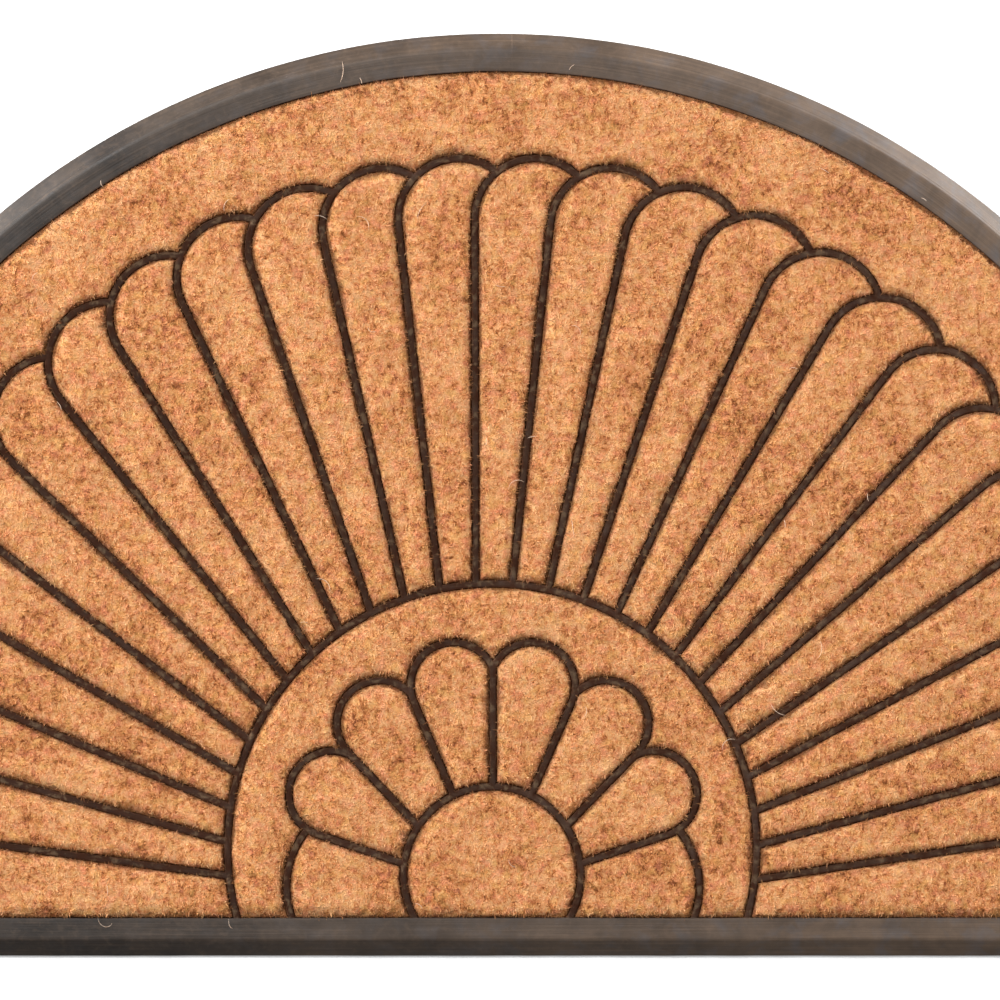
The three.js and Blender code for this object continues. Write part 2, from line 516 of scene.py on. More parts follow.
@dataclass(frozen=True)
class SunburstPattern:
    """The rule of the ribs: a fan of petals round a ring, and half a daisy inside the ring.

    Number 0 is the fan's half petal at the front right, and the last one is at the front left.
    """

    mat: MatSizes = MatSizes()
    fan_ribs: int = 26
    fan_head_distance: float = 290.7 * MM
    fan_head_radius: float = 29.6 * MM
    fan_head_angles: tuple[float, float, float] = (82.7, 7.35, 0.0095)
    fan_foot_angles: tuple[float, float, float] = (89.6, 7.9, -0.0012)
    medallion_x: float = -2.7 * MM
    ring_radius: float = 129.3 * MM
    ring_rise: float = 52.7 * MM
    disc_radius: float = 43.3 * MM
    disc_rise: float = 39.6 * MM
    daisy_x: float = -2.3 * MM
    daisy_rise: float = 50.9 * MM
    daisy_head_distance: float = 83.7 * MM
    daisy_head_radius: float = 21 * MM
    daisy_heads: tuple[float, ...] = (13.3, 41.3, 70.2)
    daisy_feet: tuple[float, ...] = (26, 56.6, 82.7)
    half_petal_radius: float = 44.3 * MM
    half_petal_out: float = 56.6 * MM
    half_petal_rise: float = 33.7 * MM
    arc_step: float = 1.2 * MM
    rib_overlap: float = 0.4 * MM

    @property
    def ring_centre(self) -> complex:
        """The middle of the ring round the daisy."""
        return complex(self.medallion_x, self.mat.front + self.ring_rise)

    @property
    def disc_centre(self) -> complex:
        """The middle of the daisy's disc."""
        return complex(self.medallion_x, self.mat.front + self.disc_rise)

    @property
    def daisy_centre(self) -> complex:
        """The middle of the circle on which the daisy's petal heads lie."""
        return complex(self.daisy_x, self.mat.front + self.daisy_rise)

    def fine_arc(self, centre: complex, radius: float, start: float, end: float) -> Outline:
        """An arc in steps of about arc_step."""
        length = radius * math.radians(abs(end - start))
        return arc(centre, radius, start, end, max(2, math.ceil(length / self.arc_step)))

    def fan_head(self, number: int) -> complex:
        """The middle of a fan petal's round head."""
        k = number - (self.fan_ribs - 1) / 2
        middle, pitch, spread = self.fan_head_angles
        angle = math.radians(middle + pitch * k + spread * k * k)
        return self.mat.arc_centre + cmath.rect(self.fan_head_distance, angle)

    def fan_foot(self, number: int) -> complex:
        """The point on the ring where a fan rib starts."""
        k = number - (self.fan_ribs - 1) / 2
        middle, pitch, crowding = self.fan_foot_angles
        angle = math.radians(middle + pitch * k + crowding * k ** 3)
        return self.ring_centre + cmath.rect(self.ring_radius, angle)

    def on_front_rim(self, centre: complex, radius: float, side: int) -> complex:
        """Where a circle comes down to the middle of the front rim.

        Args:
            centre: The circle's middle.
            radius: Its radius.
            side: 1 for its right, -1 for its left.

        Returns:
            The point.
        """
        height = self.mat.front + self.mat.rim_width / 2
        drop = min((centre.imag - height) / radius, 1)
        return complex(centre.real + side * radius * math.sqrt(1 - drop * drop), height)

    def rib_line(self, foot: complex, head: complex, radius: float, end: complex,
                 side: int) -> Outline:
        """One rib: straight to where it touches its petal's head, then over the head.

        Args:
            foot: Where it starts.
            head: The middle of the petal's head.
            radius: The head's radius.
            end: Where it ends on the head's circle.
            side: 1 where the rib is on the left of its head, -1 on the right.

        Returns:
            The rib's centre line.
        """
        to_head = head - foot
        distance = abs(to_head)
        turn = math.asin(radius / distance) * side
        reach = math.sqrt(distance * distance - radius * radius)
        touch = foot + to_head / distance * cmath.exp(1j * turn) * reach
        start = bearing(head, touch)
        stop = bearing(head, end)
        while (start - stop) * side < 0:
            stop -= 360 * side
        return [foot, *self.fine_arc(head, radius, start, stop)]

    def fan_lines(self) -> list[Outline]:
        """The centre lines of the fan's ribs."""
        radius = self.fan_head_radius
        heads = [self.fan_head(number) for number in range(self.fan_ribs + 1)]
        ends = [self.on_front_rim(heads[0], radius, 1)]
        ends += [outer_crossing(after, radius, before, radius, self.mat.arc_centre)
                 for before, after in zip(heads, heads[1:])]
        lines = [self.rib_line(self.fan_foot(number), heads[number], radius, ends[number], 1)
                 for number in range(self.fan_ribs)]
        last = heads[-1]
        over = self.fine_arc(last, radius, bearing(last, ends[-1]), 180)
        down = complex(last.real - radius, self.mat.front + self.mat.rim_width / 2)
        return [*lines, [*over, down]]

    def hoop_line(self, centre: complex, radius: float) -> Outline:
        """A rib round a circle whose ends run into the front rim."""
        right = bearing(centre, self.on_front_rim(centre, radius, 1))
        left = bearing(centre, self.on_front_rim(centre, radius, -1)) % 360
        return self.fine_arc(centre, radius, right, left)

    def half_petal_line(self, last_head: complex, side: int) -> Outline:
        """The arc that closes a half petal of the daisy.

        Args:
            last_head: The middle of the last whole petal's head.
            side: 1 on the left, -1 on the right.

        Returns:
            The arc, from that head down to the front rim.
        """
        radius = self.half_petal_radius
        centre = complex(self.daisy_x - side * self.half_petal_out,
                         self.mat.front + self.half_petal_rise)
        start = outer_crossing(centre, radius, last_head, self.daisy_head_radius,
                               self.daisy_centre)
        stop = self.on_front_rim(centre, radius, -side)
        first = bearing(centre, start)
        turn = ((bearing(centre, stop) - first) * side % 360) * side
        return self.fine_arc(centre, radius, first, first + turn)

    def daisy_lines(self, side: int) -> list[Outline]:
        """The centre lines of one half of the daisy.

        Args:
            side: 1 for the left half, -1 for the right.

        Returns:
            The lines. The first one ends at the daisy's top middle.
        """
        radius = self.daisy_head_radius
        heads = [self.daisy_centre + cmath.rect(self.daisy_head_distance,
                                                math.radians(90 + side * degrees))
                 for degrees in self.daisy_heads]
        rise = math.sqrt(radius ** 2 - (heads[0].real - self.daisy_x) ** 2)
        ends = [complex(self.daisy_x, heads[0].imag + rise)]
        ends += [outer_crossing(after, radius, before, radius, self.daisy_centre)
                 for before, after in zip(heads, heads[1:])]
        feet = [self.disc_centre + cmath.rect(self.disc_radius, math.radians(90 + side * degrees))
                for degrees in self.daisy_feet]
        lines = [self.rib_line(foot, head, radius, end, side)
                 for foot, head, end in zip(feet, heads, ends)]
        return [*lines, self.half_petal_line(heads[-1], side)]

    def lines(self) -> list[Outline]:
        """The centre lines of all the ribs."""
        left = self.daisy_lines(1)
        right = self.daisy_lines(-1)
        middle = [complex(self.daisy_x, self.disc_centre.imag + self.disc_radius),
                  left[0][-1] + 1j * self.rib_overlap]
        return [*self.fan_lines(), self.hoop_line(self.ring_centre, self.ring_radius),
                self.hoop_line(self.disc_centre, self.disc_radius), *left, *right, middle]


def outer_crossing(centre_a: complex, radius_a: float, centre_b: complex, radius_b: float,
                   away_from: complex) -> complex:
    """Where two circles cross, on the side away from a point.

    Args:
        centre_a: The first circle's middle.
        radius_a: Its radius.
        centre_b: The second circle's middle.
        radius_b: Its radius.
        away_from: The point.

    Returns:
        The crossing.
    """
    apart = abs(centre_b - centre_a)
    along = (apart * apart + radius_a * radius_a - radius_b * radius_b) / (2 * apart)
    rise = math.sqrt(radius_a * radius_a - along * along)
    direction = (centre_b - centre_a) / apart
    foot = centre_a + direction * along
    across = 1j * direction
    outwards = ((foot - away_from) * across.conjugate()).real
    return foot + across * math.copysign(rise, outwards)


def filled_in(line: Outline, step: float) -> Outline:
    """Adds points to a line so that none of its parts is longer than a step.

    Args:
        line: The line.
        step: The longest part.

    Returns:
        The line with the added points.
    """
    points = [line[0]]
    for start, end in zip(line, line[1:]):
        points += straight(start, end, max(1, math.ceil(abs(end - start) / step)))[1:]
    return points


@dataclass(frozen=True)
class Mottle:
    """One layer of soft cloudy marks: their size, and the part of the noise that they cover."""

    size: float
    low: float
    high: float


def mottling_group() -> Tree:
    """Makes the shader group of soft cloudy marks, used by the rubber and the floor."""
    canvas, given, result = new_group(
        "soft_mottling", "ShaderNodeTree",
        [("Vector", "NodeSocketVector", None), ("Size", "NodeSocketFloat", 30 * MM),
         ("Low", "NodeSocketFloat", 0.35), ("High", "NodeSocketFloat", 0.65)],
        [("Mask", "NodeSocketFloat")],
    )
    per_metre = canvas.maths("DIVIDE", 1.0, given.outputs["Size"])
    clouds = canvas.noise(given.outputs["Vector"], per_metre, detail=5.0, roughness=0.62,
                          distortion=0.4)
    mask = canvas.ranged(clouds, given.outputs["Low"], given.outputs["High"])
    canvas.tree.links.new(mask, result.inputs["Mask"])
    return canvas.tree


@dataclass(frozen=True)
class CoirTangle:
    """Coir's tangled strands, as a shader group that the pile and its fibres share.

    The group's outputs are Shade, from dark to light, Tint, from yellow to pink, Height, and
    Light, which is low deep in the pile and there sets the painted shade at the fibres' roots.
    """

    strand: float = 1.5 * MM
    clump: float = 3.4 * MM
    drifts_per_metre: float = 40.0
    tints_per_metre: float = 170.0
    lie: tuple[float, float, float] = (1.0, 0.8, 1.0)
    tint_shift: tuple[float, float, float] = (3.7, 1.9, 0.4)
    strand_share: float = 0.36
    clump_share: float = 0.40
    drift_share: float = 0.24
    shade_range: tuple[float, float] = (0.37, 0.585)
    tint_shares: tuple[float, float] = (0.6, 0.4)
    tint_range: tuple[float, float] = (0.34, 0.66)
    root_height: float = 6.6 * MM
    tip_height: float = 11.9 * MM
    light_at_root: float = 0.16

    def group(self) -> Tree:
        """Builds the group and returns its tree."""
        canvas, given, result = new_group(
            "coir_tangle", "ShaderNodeTree",
            [("Vector", "NodeSocketVector", None), ("Strand", "NodeSocketFloat", self.strand),
             ("Clump", "NodeSocketFloat", self.clump)],
            [("Shade", "NodeSocketFloat"), ("Tint", "NodeSocketFloat"),
             ("Height", "NodeSocketFloat"), ("Light", "NodeSocketFloat")],
        )
        vector = given.outputs["Vector"]
        per_strand = canvas.maths("DIVIDE", 1.0, given.outputs["Strand"])
        per_clump = canvas.maths("DIVIDE", 1.0, given.outputs["Clump"])
        lying = canvas.vector_maths("MULTIPLY", vector, self.lie)
        strands = canvas.noise(lying, per_strand, detail=1.0, distortion=1.6)
        clumps = canvas.noise(lying, per_clump, detail=2.0, distortion=0.8)
        drift = canvas.noise(vector, self.drifts_per_metre, detail=3.0, roughness=0.6)
        shade = canvas.plus(canvas.times(strands, self.strand_share),
                            canvas.times(clumps, self.clump_share),
                            canvas.times(drift, self.drift_share))
        aside = canvas.vector_maths("ADD", vector, self.tint_shift)
        slow_tint = canvas.noise(aside, self.tints_per_metre, detail=1.0)
        fine_tint = canvas.noise(aside, per_clump, detail=1.0)
        tint = canvas.plus(canvas.times(slow_tint, self.tint_shares[0]),
                           canvas.times(fine_tint, self.tint_shares[1]))
        height = canvas.node("ShaderNodeSeparateXYZ", {"Vector": vector}).outputs["Z"]
        results = {
            "Shade": canvas.ranged(shade, *self.shade_range),
            "Tint": canvas.ranged(tint, *self.tint_range),
            "Height": strands,
            # Light falls from 1 at the tips to light_at_root at the roots: painted shade deep in the
            # pile.
            "Light": canvas.ranged(height, self.root_height, self.tip_height,
                                   self.light_at_root, 1.0),
        }
        for label, socket in results.items():
            canvas.tree.links.new(socket, result.inputs[label])
        return canvas.tree


@dataclass(frozen=True)
class Surface:
    """A material in the making: its canvas, its shader and its Object coordinates."""

    material: Material
    canvas: NodeCanvas
    shader: Node
    place: Socket

    @classmethod
    def named(cls, name: str, **constants: float) -> "Surface":
        """Starts a material.

        Args:
            name: The material's name.
            **constants: Values for the shader's own sockets, with _ for a space.

        Returns:
            The material, ready for its nodes.
        """
        material = bpy.data.materials.new(name)
        material.use_nodes = True
        canvas = NodeCanvas(material.node_tree)
        shader = material.node_tree.nodes["Principled BSDF"]
        for label, value in constants.items():
            shader.inputs[label.replace("_", " ")].default_value = value
        place = canvas.node("ShaderNodeTexCoord").outputs["Object"]
        return cls(material, canvas, shader, place)

    def group(self, tree: Tree, **inputs: Value) -> Node:
        """Places a node group in the material and returns its node."""
        given = {"Vector": self.place, **inputs}
        return self.canvas.node("ShaderNodeGroup", given, node_tree=tree)

    def mottled(self, mottling: Tree, marks: Mottle) -> Socket:
        """Places a layer of soft marks.

        Args:
            mottling: The shader group of soft marks.
            marks: The marks' size and cover.

        Returns:
            A mask that is 1 on the marks.
        """
        placed_group = self.group(mottling, Size=marks.size, Low=marks.low, High=marks.high)
        return placed_group.outputs["Mask"]

    def attribute(self, name: str) -> Socket:
        """Reads a number stored on the mesh's points."""
        made = self.canvas.node("ShaderNodeAttribute", attribute_type="GEOMETRY",
                                attribute_name=name)
        return made.outputs["Fac"]

    def feed(self, label: str, socket: Socket) -> None:
        """Joins a socket to one of the shader's inputs."""
        self.canvas.tree.links.new(socket, self.shader.inputs[label])

    def bumped(self, height: Socket, strength: float, distance: float) -> None:
        """Gives the shader a bumpy normal.

        Args:
            height: The height's socket.
            strength: The bump's strength.
            distance: How high the height's 1 stands, in metres.
        """
        bump = self.canvas.node(
            "ShaderNodeBump", {"Height": height, "Strength": strength, "Distance": distance})
        self.feed("Normal", bump.outputs["Normal"])


@dataclass(frozen=True)
class RubberMasks:
    """The sockets that the rubber's colour, roughness and bumps share."""

    inset: Socket
    across: Socket
    height: Socket
    tone: Socket
    grain: Socket
    ridges: Socket
    seam: Socket
    among_pile: Socket


@dataclass(frozen=True)
class RubberFinish:
    """Moulded crumb rubber: dark brown-grey, dull, scuffed and dusty, with painted light and shade.

    Its ridges run along the rim, so they read the attributes along and inset of the mesh. A pair
    of numbers is a range, or a share at the first and last end of one.
    """

    dark: Colour = srgb(36, 29, 24)
    light: Colour = srgb(57, 46, 37)
    cool: Colour = srgb(82, 86, 94)
    dust: Colour = srgb(124, 101, 82)
    coir_dust_and_shade: Colour = srgb(54, 24, 4)
    rubbed: Colour = srgb(110, 90, 68)
    settled: Colour = srgb(112, 68, 40)
    tones: Mottle = Mottle(30 * MM, 0.36, 0.64)
    clouds: Mottle = Mottle(14 * MM, 0.36, 0.64)
    blots: Mottle = Mottle(11 * MM, 0.48, 0.68)
    patches: Mottle = Mottle(6 * MM, 0.38, 0.62)
    scuffs: Mottle = Mottle(5 * MM, 0.52, 0.63)
    spots: Mottle = Mottle(3.5 * MM, 0.5, 0.72)
    grains_per_metre: float = 1900.0
    ridges_along: float = 14.0
    ridges_across: float = 900.0
    spot_share: float = 0.14
    dusty_ridges: tuple[float, float] = (0.54, 0.76)
    ridge_dust_share: float = 0.1
    seam_share: float = 0.22
    # Dust in clouds grows from left to right: painted light that makes the rim lighter at the right.
    left_to_right: tuple[float, float] = (-190 * MM, 220 * MM)
    dust_and_light_at_right: tuple[float, float] = (0.34, 0.54)
    cool_shares: tuple[float, float] = (0.05, 0.36)
    lined_ridges: tuple[float, float] = (0.3, 0.7)
    ridge_tones: tuple[float, float] = (0.87, 1.13)
    pile_starts: tuple[float, float] = (18.2 * MM, 19.2 * MM)
    coir_dust_and_shade_shares: tuple[float, float] = (0.55, 1.0)
    scuff_share: float = 0.62
    settled_heights: tuple[float, float] = (8.7 * MM, 9.6 * MM)
    settled_share: float = 0.65
    roughness: float = 0.38
    roughness_of_tone: float = 0.12
    roughness_of_grain: float = 0.1
    roughness_among_pile: float = 0.55
    ridge_height: float = 0.7
    grain_height: float = 0.3
    seam_height: float = 0.5
    groove_depth: float = 0.8
    groove_inset: float = 6.6 * MM
    groove_half_width: float = 0.6 * MM
    bump_strength: float = 0.55
    bump_distance: float = 0.25 * MM
    seam_x: float = 7 * MM
    seam_half_width: float = 0.4 * MM
    seam_core: float = 0.3
    seam_fades: tuple[float, float] = (5 * MM, 9 * MM)
    seam_on_top: float = 0.15
    seam_end: float = 18 * MM

    def material(self, mottling: Tree) -> Material:
        """Builds the material.

        Args:
            mottling: The shader group of soft marks.

        Returns:
            The material.
        """
        surface = Surface.named("worn_rubber", Specular_IOR_Level=0.42)
        canvas = surface.canvas
        inset = surface.attribute("inset")
        axes = canvas.node("ShaderNodeSeparateXYZ", {"Vector": surface.place}).outputs
        run = canvas.node(
            "ShaderNodeCombineXYZ",
            {"X": canvas.times(surface.attribute("along"), self.ridges_along),
             "Y": canvas.times(inset, self.ridges_across)}).outputs[0]
        masks = RubberMasks(
            inset=inset,
            across=axes["X"],
            height=axes["Z"],
            tone=surface.mottled(mottling, self.tones),
            grain=canvas.noise(surface.place, self.grains_per_metre, roughness=0.6),
            ridges=canvas.noise(run, 1.0, detail=3.0, roughness=0.55),
            seam=self.seam(canvas, axes["X"], axes["Y"], inset),
            among_pile=canvas.ranged(inset, *self.pile_starts),
        )
        colour = self.dusted(surface, mottling, masks)
        surface.feed("Base Color", self.worn(surface, mottling, masks, colour))
        dull = canvas.plus(canvas.times(masks.tone, self.roughness_of_tone),
                           canvas.times(masks.grain, self.roughness_of_grain),
                           canvas.times(masks.among_pile, self.roughness_among_pile),
                           self.roughness)
        surface.feed("Roughness", dull)
        surface.bumped(self.relief(canvas, masks), self.bump_strength, self.bump_distance)
        return surface.material

    def dusted(self, surface: Surface, mottling: Tree, masks: RubberMasks) -> Socket:
        """Colours the bare rubber: its tones, its dust, and painted light that lightens it to the
        right.

        Args:
            surface: The material in the making.
            mottling: The shader group of soft marks.
            masks: The sockets shared by the rubber's channels.

        Returns:
            The colour's socket.
        """
        canvas = surface.canvas
        colour = canvas.mixed(masks.tone, self.dark, self.light)
        spots = surface.mottled(mottling, self.spots)
        colour = canvas.mixed(canvas.times(spots, self.spot_share), colour, self.dust)
        fine_dust = canvas.ranged(masks.ridges, *self.dusty_ridges, 0.0, self.ridge_dust_share)
        colour = canvas.mixed(fine_dust, colour, self.dust)
        colour = canvas.mixed(canvas.times(masks.seam, self.seam_share), colour, self.dust)
        # The rim grows lighter towards the right: painted light, laid on as clouds of dust.
        to_right = canvas.ranged(masks.across, *self.left_to_right)
        clouds = surface.mottled(mottling, self.clouds)
        dust_and_painted_light = canvas.times(to_right, canvas.ranged(clouds, 0.0, 1.0, *self.dust_and_light_at_right))
        colour = canvas.mixed(dust_and_painted_light, colour, self.dust)
        blots = surface.mottled(mottling, self.blots)
        cooler = canvas.times(canvas.ranged(to_right, 0.0, 1.0, *self.cool_shares), blots)
        colour = canvas.mixed(cooler, colour, self.cool)
        lined = canvas.ranged(masks.ridges, *self.lined_ridges, *self.ridge_tones)
        return canvas.vector_maths("SCALE", colour, scale=lined)

    def worn(self, surface: Surface, mottling: Tree, masks: RubberMasks, colour: Socket) -> Socket:
        """Adds what lies among the pile: coir dust dark with painted shade, rubbed spots, and coir
        beside the ribs.

        Args:
            surface: The material in the making.
            mottling: The shader group of soft marks.
            masks: The sockets shared by the rubber's channels.
            colour: The bare rubber's colour.

        Returns:
            The colour's socket.
        """
        canvas = surface.canvas
        # Ribs among the pile take a near-black brown: coir dust, and painted shade of ribs sunk
        # between the pads.
        patches = surface.mottled(mottling, self.patches)
        dust_and_shade = canvas.times(masks.among_pile,
                            canvas.ranged(patches, 0.0, 1.0, *self.coir_dust_and_shade_shares))
        colour = canvas.mixed(dust_and_shade, colour, self.coir_dust_and_shade)
        scuffs = canvas.times(surface.mottled(mottling, self.scuffs), self.scuff_share)
        colour = canvas.mixed(canvas.times(scuffs, masks.among_pile), colour, self.rubbed)
        beside = canvas.times(masks.among_pile,
                              canvas.ranged(masks.height, *self.settled_heights,
                                            self.settled_share, 0.0))
        return canvas.mixed(beside, colour, self.settled)

    def relief(self, canvas: NodeCanvas, masks: RubberMasks) -> Socket:
        """Gives the height of the ridges, the grain and the seam, less the groove by the rim.

        Args:
            canvas: The material's canvas.
            masks: The sockets shared by the rubber's channels.

        Returns:
            The height's socket.
        """
        height = canvas.plus(canvas.times(masks.ridges, self.ridge_height),
                             canvas.times(masks.grain, self.grain_height),
                             canvas.times(masks.seam, self.seam_height))
        from_groove = canvas.away_from(masks.inset, self.groove_inset)
        groove = canvas.ranged(from_groove, 0.0, self.groove_half_width, self.groove_depth, 0.0)
        return canvas.maths("SUBTRACT", height, groove)

    def seam(self, canvas: NodeCanvas, across: Socket, back: Socket, inset: Socket) -> Socket:
        """Marks the line across the top of the rim where the mould closed.

        Args:
            canvas: The material's canvas.
            across: The x coordinate.
            back: The y coordinate.
            inset: How far inside the mat's outline a point lies.

        Returns:
            A mask that is 1 on the line.
        """
        away = canvas.away_from(across, self.seam_x)
        line = canvas.ranged(away, self.seam_core * self.seam_half_width, self.seam_half_width,
                             1.0, 0.0)
        behind = canvas.maths("GREATER_THAN", back, 0.0)
        on_rim = canvas.ranged(inset, *self.seam_fades, 1.0, self.seam_on_top)
        on_rim = canvas.times(on_rim, canvas.maths("LESS_THAN", inset, self.seam_end))
        return canvas.times(line, canvas.times(behind, on_rim))


@dataclass(frozen=True)
class CoirFinish:
    """Tan coconut fibre, as a tangle of pale, orange and brown strands, with painted shade in the
    pile.
    """

    # The dark brown of the roots, which the painted shade deep in the pile and at its edges mixes in.
    root: Colour = srgb(98, 56, 31)
    brown: Colour = srgb(122, 70, 36)
    tan: Colour = srgb(188, 119, 69)
    orange: Colour = srgb(216, 151, 98)
    straw: Colour = srgb(234, 185, 133)
    yellow: Colour = srgb(222, 170, 100)
    pink: Colour = srgb(228, 144, 112)
    pale: Colour = srgb(212, 196, 178)
    tan_from: float = 0.24
    orange_from: float = 0.5
    yellow_below: float = 0.45
    yellow_share: float = 0.5
    pink_above: float = 0.55
    pink_share: float = 0.4
    # How far in from a pad's edge its painted shade reaches, and how light the very edge stays.
    edge_shade_reach: float = 4.0 * MM
    light_at_edge: float = 0.5
    body_painted_shade: float = 0.8
    body_roughness: tuple[float, float] = (0.97, 0.86)
    body_bump_strength: float = 0.8
    body_bump_distance: float = 0.8 * MM
    own_share: float = 0.07
    fibre_roughness: tuple[float, float] = (0.85, 0.65)
    upward_shading: float = 0.7
    stray_strand: float = 0.6 * MM
    stray_orange_share: float = 0.45
    stray_roughness: tuple[float, float] = (0.6, 0.75)

    def coloured(self, surface: Surface, strands: Node, shade: Socket) -> Socket:
        """Mixes the coir's colours.

        Args:
            surface: The material in the making.
            strands: The placed group of coir strands.
            shade: How light the strand is, from 0 to 1.

        Returns:
            The colour, with patches of yellow and pink, and painted shade deep in the pile and at a
            pad's edge.
        """
        canvas = surface.canvas
        tint = strands.outputs["Tint"]
        colour = canvas.ramp(shade, [(0.0, self.brown), (self.tan_from, self.tan),
                                     (self.orange_from, self.orange), (1.0, self.straw)])
        yellow = canvas.ranged(tint, 0.0, self.yellow_below, self.yellow_share, 0.0)
        colour = canvas.mixed(yellow, colour, self.yellow)
        pink = canvas.ranged(tint, self.pink_above, 1.0, 0.0, self.pink_share)
        colour = canvas.mixed(pink, colour, self.pink)
        # Painted shade at a pad's edge, where the pile falls away beside the ribs and the rim.
        edge_light = canvas.ranged(surface.attribute("edge"), 0.0, self.edge_shade_reach,
                                  self.light_at_edge, 1.0)
        light = canvas.times(strands.outputs["Light"], edge_light)
        return canvas.mixed(light, self.root, colour)

    def pile(self, tangle: Tree) -> Material:
        """Builds the material of the pile's own body.

        Args:
            tangle: The shader group of coir strands.

        Returns:
            The material.
        """
        surface = Surface.named("coir_pile", Specular_IOR_Level=0.15)
        canvas = surface.canvas
        strands = surface.group(tangle)
        # The body lies under the fibres, so its colour is darkened: painted shade.
        shade = canvas.times(strands.outputs["Shade"], self.body_painted_shade)
        surface.feed("Base Color", self.coloured(surface, strands, shade))
        surface.feed("Roughness", canvas.ranged(shade, 0.0, 1.0, *self.body_roughness))
        surface.bumped(strands.outputs["Height"], self.body_bump_strength,
                       self.body_bump_distance)
        return surface.material

    def fibre(self, tangle: Tree) -> Material:
        """Builds the material of the single fibres, each with a shade of its own.

        Args:
            tangle: The shader group of coir strands.

        Returns:
            The material.
        """
        surface = Surface.named("coir_fibre", Specular_IOR_Level=0.2)
        canvas = surface.canvas
        strands = surface.group(tangle)
        own = surface.attribute("fibre")
        shade = canvas.plus(canvas.times(own, self.own_share),
                            canvas.times(strands.outputs["Shade"], 1 - self.own_share))
        surface.feed("Base Color", self.coloured(surface, strands, shade))
        surface.feed("Roughness", canvas.ranged(own, 0.0, 1.0, *self.fibre_roughness))
        facing = canvas.node("ShaderNodeNewGeometry").outputs["Normal"]
        lifted = canvas.vector_maths("ADD", facing, (0.0, 0.0, self.upward_shading))
        surface.feed("Normal", canvas.vector_maths("NORMALIZE", lifted))
        return surface.material

    def stray(self, tangle: Tree) -> Material:
        """Builds the paler material of loose fibres.

        Args:
            tangle: The shader group of coir strands.

        Returns:
            The material.
        """
        surface = Surface.named("loose_fibre", Specular_IOR_Level=0.35)
        canvas = surface.canvas
        shade = surface.group(tangle, Strand=self.stray_strand).outputs["Shade"]
        colour = canvas.mixed(canvas.times(shade, self.stray_orange_share), self.pale,
                              self.orange)
        surface.feed("Base Color", colour)
        surface.feed("Roughness", canvas.ranged(shade, 0.0, 1.0, *self.stray_roughness))
        return surface.material


def finished_tree(canvas: NodeCanvas, given: Node, result: Node, geometry: Socket) -> Tree:
    """Ends a Geometry Nodes tree: it makes instances real and sets the tree's material.

    Args:
        canvas: The tree's canvas.
        given: Its input node, which has a Material.
        result: Its output node.
        geometry: What the tree made.

    Returns:
        The tree.
    """
    whole = canvas.node("GeometryNodeRealizeInstances", {"Geometry": geometry})
    dressed = canvas.node(
        "GeometryNodeSetMaterial",
        {"Geometry": whole.outputs["Geometry"], "Material": given.outputs["Material"]})
    canvas.tree.links.new(dressed.outputs["Geometry"], result.inputs["Geometry"])
    return canvas.tree


def rib_tree() -> Tree:
    """Makes the Geometry Nodes tree that sweeps a soft-edged bar along a rib's centre line."""
    canvas, given, result = new_group(
        "swept_rib", "GeometryNodeTree",
        [("Geometry", "NodeSocketGeometry", None), ("Step", "NodeSocketFloat", 2 * MM),
         ("Width", "NodeSocketFloat", 3.4 * MM), ("Height", "NodeSocketFloat", 6 * MM),
         ("Edge Radius", "NodeSocketFloat", 0.8 * MM), ("Edge Steps", "NodeSocketInt", 3),
         ("Unevenness", "NodeSocketFloat", 0.2 * MM), ("Waves per Metre", "NodeSocketFloat", 90),
         ("Roughness", "NodeSocketFloat", 0.4 * MM), ("Grains per Metre", "NodeSocketFloat", 330),
         ("Material", "NodeSocketMaterial", None)],
        [("Geometry", "NodeSocketGeometry")],
    )
    sizes = given.outputs
    sized = canvas.node("GeometryNodeResampleCurve",
                        {"Curve": sizes["Geometry"], "Length": sizes["Step"]}, mode="LENGTH")
    place = canvas.node("GeometryNodeInputPosition").outputs[0]
    wobble = canvas.wander(place, sizes["Waves per Metre"], 2.0, sizes["Unevenness"])
    moved = canvas.node("GeometryNodeSetPosition",
                        {"Geometry": sized.outputs["Curve"], "Offset": wobble})
    upright = canvas.node("GeometryNodeSetCurveNormal",
                          {"Curve": moved.outputs["Geometry"]}, mode="Z_UP")
    section = canvas.node("GeometryNodeCurvePrimitiveQuadrilateral",
                          {"Width": sizes["Width"], "Height": sizes["Height"]}, mode="RECTANGLE")
    rounded = canvas.node(
        "GeometryNodeFilletCurve",
        {"Curve": section.outputs["Curve"], "Radius": sizes["Edge Radius"],
         "Count": sizes["Edge Steps"]}, mode="POLY")
    swept = canvas.node(
        "GeometryNodeCurveToMesh",
        {"Curve": upright.outputs["Curve"], "Profile Curve": rounded.outputs["Curve"],
         "Fill Caps": True})
    grainy = canvas.wander(place, sizes["Grains per Metre"], 1.0, sizes["Roughness"])
    rough = canvas.node("GeometryNodeSetPosition",
                        {"Geometry": swept.outputs["Mesh"], "Offset": grainy})
    return finished_tree(canvas, given, result, rough.outputs["Geometry"])


